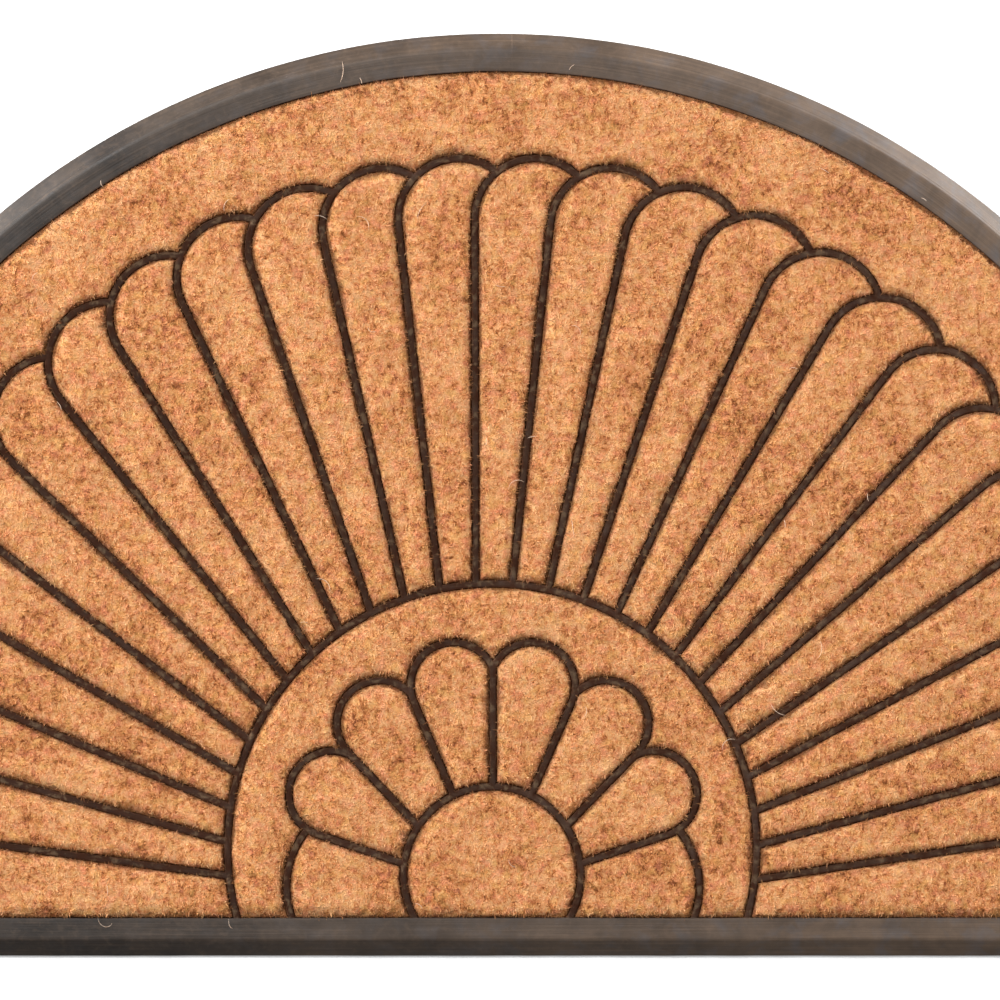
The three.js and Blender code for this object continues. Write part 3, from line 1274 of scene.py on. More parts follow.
@dataclass(frozen=True)
class StandingFibres:
    """The Geometry Nodes tree that stands leaning fibres on the top of the pile.

    A pair of numbers is a range. The last point of a fibre is at 1 of its length, and it starts a
    little under the pile's surface.
    """

    least_upward: float = 0.25
    lean_from: tuple[float, float, float] = (-1.0, -1.0, -0.1)
    lean_to: tuple[float, float, float] = (1.0, 1.0, 0.3)
    lean_shares: tuple[float, float] = (0.1, 1.0)
    lean_power: float = 1.3
    swirl_stretch: tuple[float, float, float] = (1.0, 1.2, 0.0)
    spills_per_metre: float = 480.0
    spill_noise: tuple[float, float] = (0.38, 0.62)
    spills: tuple[float, float] = (-0.1, 1.6)
    widths: tuple[float, float] = (0.5, 1.5)
    lengths: tuple[float, float] = (0.55, 1.25)
    tuft_shift: tuple[float, float, float] = (0.31, 0.17, 0.0)
    tuft_noise: tuple[float, float] = (0.35, 0.65)
    tuft_lengths: tuple[float, float] = (0.55, 1.3)
    trimmed_within: float = 2.2 * MM
    trimmed_length: float = 0.9
    centre_under: float = -0.2
    fibre_sides: int = 3

    def tree(self) -> Tree:
        """Builds the tree."""
        canvas, given, result = new_group(
            "standing_fibres", "GeometryNodeTree",
            [("Geometry", "NodeSocketGeometry", None), ("Density", "NodeSocketFloat", 700000.0),
             ("Length", "NodeSocketFloat", 2.4 * MM), ("Thickness", "NodeSocketFloat", 0.2 * MM),
             ("Lean", "NodeSocketFloat", 1.2), ("Tuft", "NodeSocketFloat", 2.8 * MM),
             ("Swirl", "NodeSocketFloat", 3.0), ("Seed", "NodeSocketInt", 1),
             ("Material", "NodeSocketMaterial", None)],
            [("Geometry", "NodeSocketGeometry")],
        )
        sizes = given.outputs
        facing = canvas.node("GeometryNodeInputNormal").outputs["Normal"]
        upward = canvas.node("ShaderNodeSeparateXYZ", {"Vector": facing}).outputs["Z"]
        on_top = canvas.node("FunctionNodeCompare", {"A": upward, "B": self.least_upward},
                             data_type="FLOAT", operation="GREATER_THAN").outputs[0]
        roots = canvas.node(
            "GeometryNodeDistributePointsOnFaces",
            {"Mesh": sizes["Geometry"], "Selection": on_top, "Density": sizes["Density"],
             "Seed": sizes["Seed"]}, distribute_method="RANDOM")
        spike = canvas.node(
            "GeometryNodeMeshCone",
            {"Vertices": self.fibre_sides, "Side Segments": 1, "Fill Segments": 1,
             "Radius Top": 0.0, "Radius Bottom": 1.0, "Depth": 1.0}, fill_type="NGON")
        sunk = canvas.node(
            "GeometryNodeTransform",
            {"Geometry": spike.outputs["Mesh"], "Translation": (0.0, 0.0, self.centre_under)})
        planted = canvas.node(
            "GeometryNodeInstanceOnPoints",
            {"Points": roots.outputs["Points"], "Instance": sunk.outputs["Geometry"],
             "Rotation": self.rotation(canvas, sizes), "Scale": self.size(canvas, sizes)})
        shaded = canvas.node(
            "GeometryNodeStoreNamedAttribute",
            {"Geometry": planted.outputs["Instances"], "Name": "fibre",
             "Value": canvas.draw(sizes["Seed"], 6, 0.0, 1.0)},
            data_type="FLOAT", domain="INSTANCE")
        return finished_tree(canvas, given, result, shaded.outputs["Geometry"])

    def rotation(self, canvas: NodeCanvas, sizes: Sockets) -> Socket:
        """Leans each fibre: at random, with its tuft, and over the pile's edge.

        Args:
            canvas: The tree's canvas.
            sizes: The tree's inputs.

        Returns:
            The rotation's socket.
        """
        seed = sizes["Seed"]
        place = canvas.node("GeometryNodeInputPosition").outputs[0]
        per_tuft = canvas.maths("DIVIDE", 1.0, sizes["Tuft"])
        sideways = canvas.draw(seed, 1, self.lean_from, self.lean_to, "FLOAT_VECTOR")
        eased = canvas.maths("POWER", canvas.draw(seed, 2, *self.lean_shares), self.lean_power)
        lean = canvas.vector_maths("SCALE", sideways, scale=canvas.times(eased, sizes["Lean"]))
        swirl = canvas.wander(place, per_tuft, 1.0, sizes["Swirl"])
        together = canvas.vector_maths("MULTIPLY", swirl, self.swirl_stretch)
        lean = canvas.vector_maths("ADD", lean, together)
        spill = canvas.noise(place, self.spills_per_metre, detail=1.0)
        spill = canvas.ranged(spill, *self.spill_noise, *self.spills)
        spilled = canvas.vector_maths("SCALE", canvas.named("outward", "FLOAT_VECTOR"),
                                      scale=spill)
        direction = canvas.vector_maths("ADD", spilled, lean)
        direction = canvas.vector_maths("ADD", direction, (0.0, 0.0, 1.0))
        aimed = canvas.node("FunctionNodeAlignRotationToVector", {"Vector": direction}, axis="Z")
        spun = canvas.node(
            "FunctionNodeAxisAngleToRotation",
            {"Axis": (0.0, 0.0, 1.0), "Angle": canvas.draw(seed, 3, 0.0, math.tau)})
        turned = canvas.node(
            "FunctionNodeRotateRotation",
            {"Rotation": aimed.outputs["Rotation"], "Rotate By": spun.outputs["Rotation"]},
            rotation_space="LOCAL")
        return turned.outputs["Rotation"]

    def size(self, canvas: NodeCanvas, sizes: Sockets) -> Socket:
        """Sizes each fibre: at random, with its tuft, and shorter at the pile's edge.

        Args:
            canvas: The tree's canvas.
            sizes: The tree's inputs.

        Returns:
            The scale's socket.
        """
        seed = sizes["Seed"]
        place = canvas.node("GeometryNodeInputPosition").outputs[0]
        per_tuft = canvas.maths("DIVIDE", 1.0, sizes["Tuft"])
        across = canvas.times(canvas.draw(seed, 4, *self.widths), sizes["Thickness"])
        aside = canvas.vector_maths("ADD", place, self.tuft_shift)
        tuft = canvas.noise(aside, per_tuft, detail=1.0)
        standing = canvas.ranged(tuft, *self.tuft_noise, *self.tuft_lengths)
        along = canvas.times(canvas.draw(seed, 5, *self.lengths), sizes["Length"])
        along = canvas.times(along, standing)
        trimmed = canvas.ranged(canvas.named("edge", "FLOAT"), 0.0, self.trimmed_within,
                                self.trimmed_length, 1.0)
        along = canvas.times(along, trimmed)
        size = canvas.node("ShaderNodeCombineXYZ", {"X": across, "Y": across, "Z": along})
        return size.outputs[0]


def hair_tree() -> Tree:
    """Makes the Geometry Nodes tree that gives loose fibres their thickness and thin ends."""
    canvas, given, result = new_group(
        "loose_hairs", "GeometryNodeTree",
        [("Geometry", "NodeSocketGeometry", None), ("Thickness", "NodeSocketFloat", 0.2 * MM),
         ("Sides", "NodeSocketInt", 5), ("Thin Part", "NodeSocketFloat", 0.2),
         ("End Thickness", "NodeSocketFloat", 0.35), ("Material", "NodeSocketMaterial", None)],
        [("Geometry", "NodeSocketGeometry")],
    )
    sizes = given.outputs
    share = canvas.node("GeometryNodeSplineParameter").outputs["Factor"]
    from_end = canvas.maths("MINIMUM", share, canvas.maths("SUBTRACT", 1.0, share))
    taper = canvas.ranged(from_end, 0.0, sizes["Thin Part"], sizes["End Thickness"], 1.0)
    tapered = canvas.node("GeometryNodeSetCurveRadius",
                          {"Curve": sizes["Geometry"], "Radius": taper})
    section = canvas.node("GeometryNodeCurvePrimitiveCircle",
                          {"Resolution": sizes["Sides"], "Radius": sizes["Thickness"]})
    swept = canvas.node(
        "GeometryNodeCurveToMesh",
        {"Curve": tapered.outputs["Curve"], "Profile Curve": section.outputs["Curve"],
         "Scale": taper, "Fill Caps": True})
    return finished_tree(canvas, given, result, swept.outputs["Mesh"])


def curve_of(name: str, lines: Iterable[Sequence[tuple[float, float, float]]]) -> Piece:
    """Makes one curve object of several open lines.

    Args:
        name: The object's name.
        lines: Each line's points.

    Returns:
        The curve object.
    """
    data = bpy.data.curves.new(name, "CURVE")
    data.dimensions = "3D"
    for line in lines:
        spline = data.splines.new("POLY")
        spline.points.add(len(line) - 1)
        for point, place in zip(spline.points, line):
            point.co = (*place, 1.0)
    return placed(name, data)


@dataclass
class RubberTray:
    """The tray: a base with a bevelled rim, and the ribs of the pattern, as one closed mesh."""

    mat: MatSizes
    pattern: SunburstPattern
    floor_inset: float = 3 * MM
    foot_softness: float = 0.4 * MM
    corner_softness: float = 0.5 * MM
    bevel_softness: float = 3.4 * MM
    corner_steps: int = 3
    profile_step: float = 1.6 * MM
    rim_unevenness: float = 0.16 * MM
    rim_waves_per_metre: float = 28.0
    rim_ripples_per_metre: float = 90.0
    rim_seed: int = 7
    even_below: float = 1.5 * MM
    merge_distance: float = 0.01 * MM
    rib_softness: float = 1.3 * MM
    rib_corner_steps: int = 3
    rib_sink: float = 2.0 * MM
    rib_below_rim: float = 0.25 * MM
    rib_step: float = 1.6 * MM
    rib_unevenness: float = 0.45 * MM
    rib_waves_per_metre: float = 90.0
    rib_roughness: float = 0.7 * MM
    rib_grains_per_metre: float = 330.0
    smooth_angle: float = 38.0
    front_along: float = 2.0

    def profile(self) -> list[tuple[float, float]]:
        """The rim's section, as insets and heights from the floor round to the well."""
        mat = self.mat
        corners = [
            (self.floor_inset, 0.0, 0.0),
            (0.0, 0.0, self.foot_softness),
            (0.0, mat.lip_top, self.corner_softness),
            (mat.bevel_width, mat.rubber_top, self.bevel_softness),
            (mat.rim_width, mat.rubber_top, self.corner_softness),
            (mat.rim_width, mat.base_top, 0.0),
        ]
        section: Outline = []
        for k, (inset, height, radius) in enumerate(corners):
            here = complex(inset, height)
            if not radius:
                section.append(here)
                continue
            before = complex(*corners[k - 1][:2]) - here
            after = complex(*corners[k + 1][:2]) - here
            section += self.rounded(here, before / abs(before), after / abs(after), radius)
        return [(point.real, point.imag) for point in filled_in(section, self.profile_step)]

    def rounded(self, corner: complex, before: complex, after: complex, radius: float) -> Outline:
        """Rounds a corner of the section.

        Args:
            corner: The corner.
            before: The direction back to the corner before it.
            after: The direction on to the next corner.
            radius: The rounding's radius.

        Returns:
            The points of the soft corner.
        """
        half = math.acos((before * after.conjugate()).real) / 2
        cut = radius / math.tan(half)
        start = corner + before * cut
        end = corner + after * cut
        points = []
        for step in range(self.corner_steps + 1):
            share = step / self.corner_steps
            points.append((1 - share) ** 2 * start + 2 * share * (1 - share) * corner
                          + share ** 2 * end)
        return points

    def rim(self) -> Piece:
        """Builds the base and rim as one closed mesh."""
        loops = [(self.mat.outline(inset), height) for inset, height in self.profile()]
        count = len(loops[0][0])
        points = np.array([(point.real, point.imag, height)
                           for loop, height in loops for point in loop])
        faces = [
            (row * count + k, row * count + (k + 1) % count,
             (row + 1) * count + (k + 1) % count, (row + 1) * count + k)
            for row in range(len(loops) - 1) for k in range(count)
        ]
        faces.append(tuple(range(count))[::-1])
        faces.append(tuple(range((len(loops) - 1) * count, len(loops) * count)))
        mesh = mesh_from("tray_rim", points, faces)
        work = bmesh.new()
        work.from_mesh(mesh)
        bmesh.ops.remove_doubles(work, verts=work.verts, dist=self.merge_distance)
        # Without a seed, Blender starts noise_vector from the clock.
        noise.seed_set(self.rim_seed)
        for vert in work.verts:
            if vert.co.z > self.even_below:
                shift = noise.noise_vector(vert.co * self.rim_waves_per_metre)
                shift += noise.noise_vector(vert.co * self.rim_ripples_per_metre) / 2
                vert.co += shift * self.rim_unevenness
        bmesh.ops.recalc_face_normals(work, faces=work.faces)
        work.to_mesh(mesh)
        work.free()
        return placed("rubber_tray", mesh)

    def ribs(self, tree: Tree, material: Material) -> list[Piece]:
        """Builds each rib as a closed bar that starts inside the base.

        Args:
            tree: The Geometry Nodes tree that sweeps a rib.
            material: The rubber.

        Returns:
            The ribs.
        """
        bottom = self.mat.base_top - self.rib_sink
        top = self.mat.rubber_top - self.rib_below_rim
        middle = (bottom + top) / 2
        values = {
            "Step": self.rib_step, "Width": self.mat.rib_width, "Height": top - bottom,
            "Edge Radius": self.rib_softness, "Edge Steps": self.rib_corner_steps,
            "Unevenness": self.rib_unevenness, "Waves per Metre": self.rib_waves_per_metre,
            "Roughness": self.rib_roughness, "Grains per Metre": self.rib_grains_per_metre,
            "Material": material,
        }
        bars = []
        for k, line in enumerate(self.pattern.lines()):
            path = [(point.real, point.imag, middle) for point in line]
            bars.append(grown(curve_of(f"rib_path_{k}", [path]), tree, f"rib_{k}", values))
        return bars

    def joined(self, body: Piece, ribs: list[Piece]) -> Mesh:
        """Joins the ribs to the base and rim.

        Args:
            body: The base and rim.
            ribs: The ribs. They are removed afterwards.

        Returns:
            The joined mesh.
        """
        holder = bpy.data.collections.new("ribs")
        bpy.context.scene.collection.children.link(holder)
        for rib in ribs:
            bpy.context.scene.collection.objects.unlink(rib)
            holder.objects.link(rib)
        union = body.modifiers.new("ribs", "BOOLEAN")
        union.operation = "UNION"
        union.solver = "MANIFOLD"
        union.operand_type = "COLLECTION"
        union.collection = holder
        depsgraph = bpy.context.evaluated_depsgraph_get()
        mesh = bpy.data.meshes.new_from_object(body.evaluated_get(depsgraph))
        body.modifiers.remove(union)
        for rib in ribs:
            bpy.data.objects.remove(rib)
        bpy.data.collections.remove(holder)
        return mesh

    def build(self, tree: Tree, material: Material) -> Piece:
        """Builds the whole tray.

        Args:
            tree: The Geometry Nodes tree that sweeps a rib.
            material: The rubber.

        Returns:
            The tray, as a finished piece.
        """
        body = self.rim()
        body.data.materials.append(material)
        mesh = self.joined(body, self.ribs(tree, material))
        body.data = mesh
        mesh.materials.clear()
        mesh.materials.append(material)
        mesh.shade_smooth()
        mesh.set_sharp_from_angle(angle=math.radians(self.smooth_angle))
        self.mark(mesh)
        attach(body, BODY)
        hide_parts("tray")
        return body

    def mark(self, mesh: Mesh) -> None:
        """Stores how far each point lies along and inside the mat's outline."""
        points = mesh_points(mesh)
        flat = points[:, 0] + 1j * points[:, 1]
        mat = self.mat
        on_arc = flat.imag > mat.arc_centre.imag
        angle = np.angle(flat - mat.arc_centre)
        side = np.where(flat.real > 0, flat.imag - mat.arc_centre.imag,
                        math.pi * mat.outer_radius - flat.imag + mat.arc_centre.imag)
        along = np.where(on_arc, angle * mat.outer_radius, side)
        near_front = flat.imag - mat.front < mat.outer_radius - np.abs(flat.real)
        along = np.where(near_front & ~on_arc, self.front_along + flat.real, along)
        store(mesh, "along", along)
        store(mesh, "inset", mat.inset(flat))


@dataclass(frozen=True)
class FlatSize:
    """What one pad of pile measures when it lies flat."""

    width: float
    length: float
    area: float


@dataclass(frozen=True)
class PadPlan:
    """The top of a pad seen from above: its outline's points first, then those inside.

    Attributes:
        flat: The points.
        count: How many of them lie on the outline.
        depth: How far each one lies from the outline.
        outward: The way out of the pad from each one, of any length.
        by_rim: Whether each one lies beside the mat's rim.
    """

    flat: np.ndarray
    count: int
    depth: np.ndarray
    outward: np.ndarray
    by_rim: np.ndarray


@dataclass
class CoirPad:
    """One cell's pile: a closed pad with a rough top, round shoulders and upright sides."""

    node: str
    mat: MatSizes
    edge_step: float = 1.5 * MM
    grid_step: float = 2.9 * MM
    row_share: float = 0.866
    jitter: float = 0.28
    grid_clearance: float = 0.45
    rings: tuple[float, ...] = (0.8 * MM, 1.6 * MM)
    ring_clearance: float = 0.93
    edge_shares: tuple[float, ...] = (0.0, 0.25, 0.5, 0.75)
    merge_distance: float = 0.001 * MM
    top_tolerance: float = 0.1 * MM
    join_tolerance: float = 1e-7
    body_top: float = 11.3 * MM
    edge_height: float = 8.6 * MM
    foot_height: float = 5.35 * MM
    shoulder: float = 1.6 * MM
    shoulder_power: float = 2.2
    beside_rim: float = 4 * MM
    setback: float = 0.25 * MM
    setback_at_rim: float = 1.1 * MM
    highest_edge: float = 0.35
    highest_edge_at_rim: float = 0.1
    raggedness: float = 1.3 * MM
    notches_per_metre: float = 480.0
    notch_share: float = 0.8
    bays_per_metre: float = 75.0
    bay_share: float = 0.9
    roughness: float = 0.45 * MM
    roughness_at_edge: float = 0.3
    clumps_per_metre: float = 330.0
    swells_per_metre: float = 70.0
    swell_share: float = 0.9
    spill_reach: float = 2.6 * MM
    spill_at_rim: float = 1.3
    front_closeness: float = 2.5
    arc_closeness: float = 0.6
    arc_fade: float = 8.0 * MM

    def cad_outline(self) -> Outline:
        """Reads the top outline of the CAD node from a merged copy of its mesh."""
        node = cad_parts[self.node]
        work = bmesh.new()
        work.from_mesh(node.data)
        work.transform(node.matrix_world)
        bmesh.ops.remove_doubles(work, verts=work.verts, dist=self.merge_distance)
        top = max(vert.co.z for vert in work.verts) - self.top_tolerance
        follows: dict[int, int] = {}
        work.verts.ensure_lookup_table()
        for face in work.faces:
            if all(vert.co.z > top for vert in face.verts):
                for loop in face.loops:
                    after = loop.link_loop_next.vert
                    back = loop.link_loop_radial_next.face
                    if any(vert.co.z <= top for vert in back.verts):
                        follows[loop.vert.index] = after.index
        start = min(follows)
        order = [start]
        while follows[order[-1]] != start:
            order.append(follows[order[-1]])
        points = [complex(work.verts[k].co.x, work.verts[k].co.y) for k in order]
        work.free()
        return points

    def flat_size(self) -> FlatSize:
        """Works out what the pad was cut to.

        Returns:
            The smallest rectangle round it, or a curved band's width and length.
        """
        shape = np.array(self.cad_outline())
        after = np.roll(shape, -1)
        area = abs(np.sum(shape.real * after.imag - shape.imag * after.real)) / 2
        if self.node in BANDS:
            around = float(np.sum(np.abs(after - shape))) / 2
            return FlatSize(area / around, around, area)
        best = (math.inf, 0.0, 0.0)
        for degrees in range(180):
            turned = shape * cmath.exp(-1j * math.radians(degrees))
            width = float(np.ptp(turned.real))
            length = float(np.ptp(turned.imag))
            best = min(best, (width * length, width, length))
        return FlatSize(min(best[1:]), max(best[1:]), area)

    def smooth_outline(self, ribs: "RibFinder") -> np.ndarray:
        """The pad's outline in fine steps, moved onto the true curves of the ribs and rim.

        Args:
            ribs: Finds the nearest point of the ribs' centre lines.

        Returns:
            The outline's points, anticlockwise.
        """
        rough = self.cad_outline()
        fine = filled_in([*rough, rough[0]], self.edge_step)[:-1]
        keep_off = self.mat.rib_width / 2 + self.mat.gap
        rim_line = self.mat.rim_width + self.mat.gap
        centre = self.mat.arc_centre
        points = []
        for point in fine:
            nearest = ribs.nearest(point)
            away = point - nearest
            off_rib = abs(away)
            inset = float(self.mat.inset(np.array([point]))[0])
            if abs(off_rib - keep_off) <= abs(inset - rim_line):
                points.append(nearest + away / off_rib * keep_off)
            elif point.imag > centre.imag and inset < point.imag - self.mat.front:
                out = point - centre
                points.append(centre + out / abs(out) * (self.mat.outer_radius - rim_line))
            else:
                points.append(point)
        line = np.array(points)
        turn = np.sum(line.real * np.roll(line.imag, -1) - line.imag * np.roll(line.real, -1))
        return line if turn > 0 else line[::-1]

    def inner_points(self, line: np.ndarray) -> tuple[np.ndarray, np.ndarray]:
        """Scatters points inside the outline: in rings along it, then on a jittered grid.

        Args:
            line: The outline.

        Returns:
            The points, and the outline's point nearest to each.
        """
        step = self.grid_step
        low = complex(line.real.min(), line.imag.min())
        high = complex(line.real.max(), line.imag.max())
        columns = np.arange(low.real, high.real, step)
        rows = np.arange(low.imag, high.imag, step * self.row_share)
        grid = columns[None, :] + 1j * rows[:, None]
        grid[1::2] += step / 2
        seed = sum(ord(letter) * (k + 1) for k, letter in enumerate(self.node))
        random = np.random.default_rng(seed)
        jitter = random.uniform(-self.jitter, self.jitter, (2, *grid.shape)) * step
        spots = (grid + jitter[0] + 1j * jitter[1]).ravel()
        edge = KDTree(len(line) * len(self.edge_shares))
        after = np.roll(line, -1)
        for share in self.edge_shares:
            for point in line + (after - line) * share:
                edge.insert((point.real, point.imag, 0), 0)
        edge.balance()
        least = self.rings[-1] + self.grid_clearance * step
        kept, nearest = self.at_least(line, edge, spots, least)
        inward = directions(1j * (after - np.roll(line, 1)))
        for k, ring in enumerate(self.rings):
            ring_line = line + inward * ring
            if k % 2:
                ring_line = (ring_line + np.roll(ring_line, -1)) / 2
            more, nearest_more = self.at_least(line, edge, ring_line, ring * self.ring_clearance)
            kept = np.concatenate([kept, more])
            nearest = np.concatenate([nearest, nearest_more])
        return kept, nearest

    @staticmethod
    def at_least(line: np.ndarray, edge: KDTree, spots: np.ndarray,
                 least: float) -> tuple[np.ndarray, np.ndarray]:
        """Keeps the points inside an outline that lie far enough from it.

        Args:
            line: The outline.
            edge: The outline's points as a search tree.
            spots: The points to choose from.
            least: The least distance from the outline.

        Returns:
            The points that stay, and the outline's point nearest to each.
        """
        spots = spots[inside(line, spots)]
        found = [edge.find((spot.real, spot.imag, 0))[0] for spot in spots]
        nearest = np.array([complex(place.x, place.y) for place in found])
        clear = np.abs(nearest - spots) > least
        return spots[clear], nearest[clear]

    def plan(self, ribs: "RibFinder") -> PadPlan:
        """Lays out the pad's top, seen from above.

        Args:
            ribs: Finds the nearest point of the ribs' centre lines.

        Returns:
            The plan.
        """
        line = self.smooth_outline(ribs)
        inner, nearest = self.inner_points(line)
        flat = np.concatenate([line, inner])
        away = nearest - inner
        out_of_line = -1j * (np.roll(line, -1) - np.roll(line, 1))
        return PadPlan(
            flat=flat,
            count=len(line),
            depth=np.concatenate([np.zeros(len(line)), np.abs(away)]),
            outward=np.concatenate([out_of_line, away]),
            by_rim=self.mat.inset(flat) < self.mat.rim_width + self.beside_rim,
        )

    def heights(self, plan: PadPlan) -> np.ndarray:
        """How high the pad's top stands: full inside, and falling raggedly to its edge.

        Args:
            plan: The pad's plan.

        Returns:
            The height of each of its points.
        """
        flat = plan.flat
        ragged = (self.notch_share * waves(flat, self.notches_per_metre, 9.3)
                  + self.bay_share * waves(flat, self.bays_per_metre, 2.3))
        setback = np.where(plan.by_rim, self.setback_at_rim, self.setback)
        reach = np.clip((plan.depth - setback + ragged * self.raggedness) / self.shoulder, 0, 1)
        highest = np.where(plan.by_rim, self.highest_edge_at_rim, self.highest_edge)
        on_edge = slice(plan.count)
        reach[on_edge] = np.minimum(reach[on_edge], highest[on_edge])
        fall = (1 - reach) ** self.shoulder_power * (self.body_top - self.edge_height)
        clumps = np.array([
            noise.fractal(Vector((point.real * self.clumps_per_metre,
                                  point.imag * self.clumps_per_metre, 1.7)), 0.8, 2.0, 3)
            for point in flat])
        bumps = clumps + self.swell_share * waves(flat, self.swells_per_metre, 5.1)
        evenness = self.roughness_at_edge + (1 - self.roughness_at_edge) * reach
        return self.body_top - fall + bumps * self.roughness * evenness

    def filled(self, flat: np.ndarray, ring: list[tuple[int, int]]) -> list[tuple[int, ...]]:
        """Fills an outline with triangles.

        Args:
            flat: The points.
            ring: The outline, as pairs of their numbers.

        Returns:
            The triangles, as the numbers of their points.
        """
        points, _, faces, sources, *_ = delaunay_2d_cdt(
            [Vector((point.real, point.imag)) for point in flat], ring, [], 1,
            self.join_tolerance)
        if len(points) != len(flat):
            raise ValueError(f"{self.node}: the outline crosses itself")
        return [tuple(sources[k][0] for k in face) for face in faces]

    def faces(self, plan: PadPlan) -> list[tuple[int, ...]]:
        """Joins the points of the top, and those of the foot after them, into a closed mesh.

        Args:
            plan: The pad's plan.

        Returns:
            The faces of the top, the sides and the floor, as point numbers.
        """
        foot = len(plan.flat)
        ring = [(k, (k + 1) % plan.count) for k in range(plan.count)]
        top = self.filled(plan.flat, ring)
        sides = [(k, foot + k, foot + after, after) for k, after in ring]
        floor = [tuple(foot + k for k in reversed(face))
                 for face in self.filled(plan.flat[:plan.count], ring)]
        return [*top, *sides, *floor]

    def build(self, ribs: "RibFinder", material: Material) -> Piece:
        """Builds the pad.

        Args:
            ribs: Finds the nearest point of the ribs' centre lines.
            material: The pile's material.

        Returns:
            The pad, as a finished piece.
        """
        plan = self.plan(ribs)
        line = plan.flat[:plan.count]
        top = np.column_stack([plan.flat.real, plan.flat.imag, self.heights(plan)])
        foot = np.column_stack([line.real, line.imag, np.full(plan.count, self.foot_height)])
        mesh = mesh_from(f"pile_{self.node}", np.concatenate([top, foot]), self.faces(plan))
        mesh.materials.append(material)
        mesh.shade_smooth()
        self.mark(mesh, plan)
        return placed(f"pile_{self.node.removeprefix('coir_')}", mesh)

    def mark(self, mesh: Mesh, plan: PadPlan) -> None:
        """Stores what the fibres and the colours read: how far the edge is, and which way out.

        Args:
            mesh: The pad's mesh.
            plan: Its plan.
        """
        mat = self.mat
        fade_from = mat.rim_width + self.arc_fade
        by_arc = (mat.inset(plan.flat) < fade_from) & (plan.flat.imag > mat.front + fade_from)
        # The stored distance is scaled: the painted shade at the edge, and the trimming of fibres,
        # reach further in by the arc and less far by the front rim.
        by_front = np.where(plan.by_rim, self.front_closeness, 1.0)
        closeness = np.where(by_arc, self.arc_closeness, by_front)
        foot = np.zeros(plan.count)
        store(mesh, "edge", np.concatenate([plan.depth * closeness, foot]))
        spill = np.where(plan.by_rim, self.spill_at_rim, 1.0)
        spill = spill * np.clip(1 - plan.depth / self.spill_reach, 0, 1)
        outward = np.concatenate([directions(plan.outward) * spill, foot])
        flow = np.column_stack([outward.real, outward.imag, np.zeros(len(outward))])
        made = mesh.attributes.new("outward", "FLOAT_VECTOR", "POINT")
        made.data.foreach_set("vector", flow.astype(np.float32).ravel())


def waves(flat: np.ndarray, per_metre: float, layer: float) -> np.ndarray:
    """Reads smooth noise at some points.

    Args:
        flat: The points.
        per_metre: How many waves a metre has.
        layer: The noise's third coordinate, so that no two uses are alike.

    Returns:
        The noise at each point.
    """
    return np.array([
        noise.noise(Vector((point.real * per_metre, point.imag * per_metre, layer)))
        for point in flat])


def directions(arrows: np.ndarray) -> np.ndarray:
    """Brings complex arrows to a length of 1, and leaves those of no length."""
    return arrows / np.maximum(np.abs(arrows), 1e-9)


def inside(line: np.ndarray, spots: np.ndarray, at_once: int = 2000) -> np.ndarray:
    """Tells which points lie inside a closed line.

    Args:
        line: The line's points.
        spots: The points to test.
        at_once: How many are tested at once.

    Returns:
        True for each point that lies inside.
    """
    result = np.zeros(len(spots), dtype=bool)
    after = np.roll(line, -1)
    for first in range(0, len(spots), at_once):
        part = spots[first:first + at_once, None]
        crosses = (line.imag > part.imag) != (after.imag > part.imag)
        rise = np.where(after.imag == line.imag, 1, after.imag - line.imag)
        at = line.real + (part.imag - line.imag) * (after.real - line.real) / rise
        crossings = np.sum(crosses & (part.real < at), axis=1)
        result[first:first + at_once] = crossings % 2 == 1
    return result


class RibFinder:
    """Finds the nearest point of the ribs' centre lines."""

    def __init__(self, lines: Iterable[Outline], step: float = 0.3 * MM) -> None:
        """Fills the search tree.

        Args:
            lines: The centre lines.
            step: The distance between the points kept.
        """
        self.points = [point for line in lines for point in filled_in(line, step)]
        self.tree = KDTree(len(self.points))
        for k, point in enumerate(self.points):
            self.tree.insert((point.real, point.imag, 0), k)
        self.tree.balance()

    def nearest(self, point: complex) -> complex:
        """Returns the nearest point of any centre line."""
        return self.points[self.tree.find((point.real, point.imag, 0))[1]]


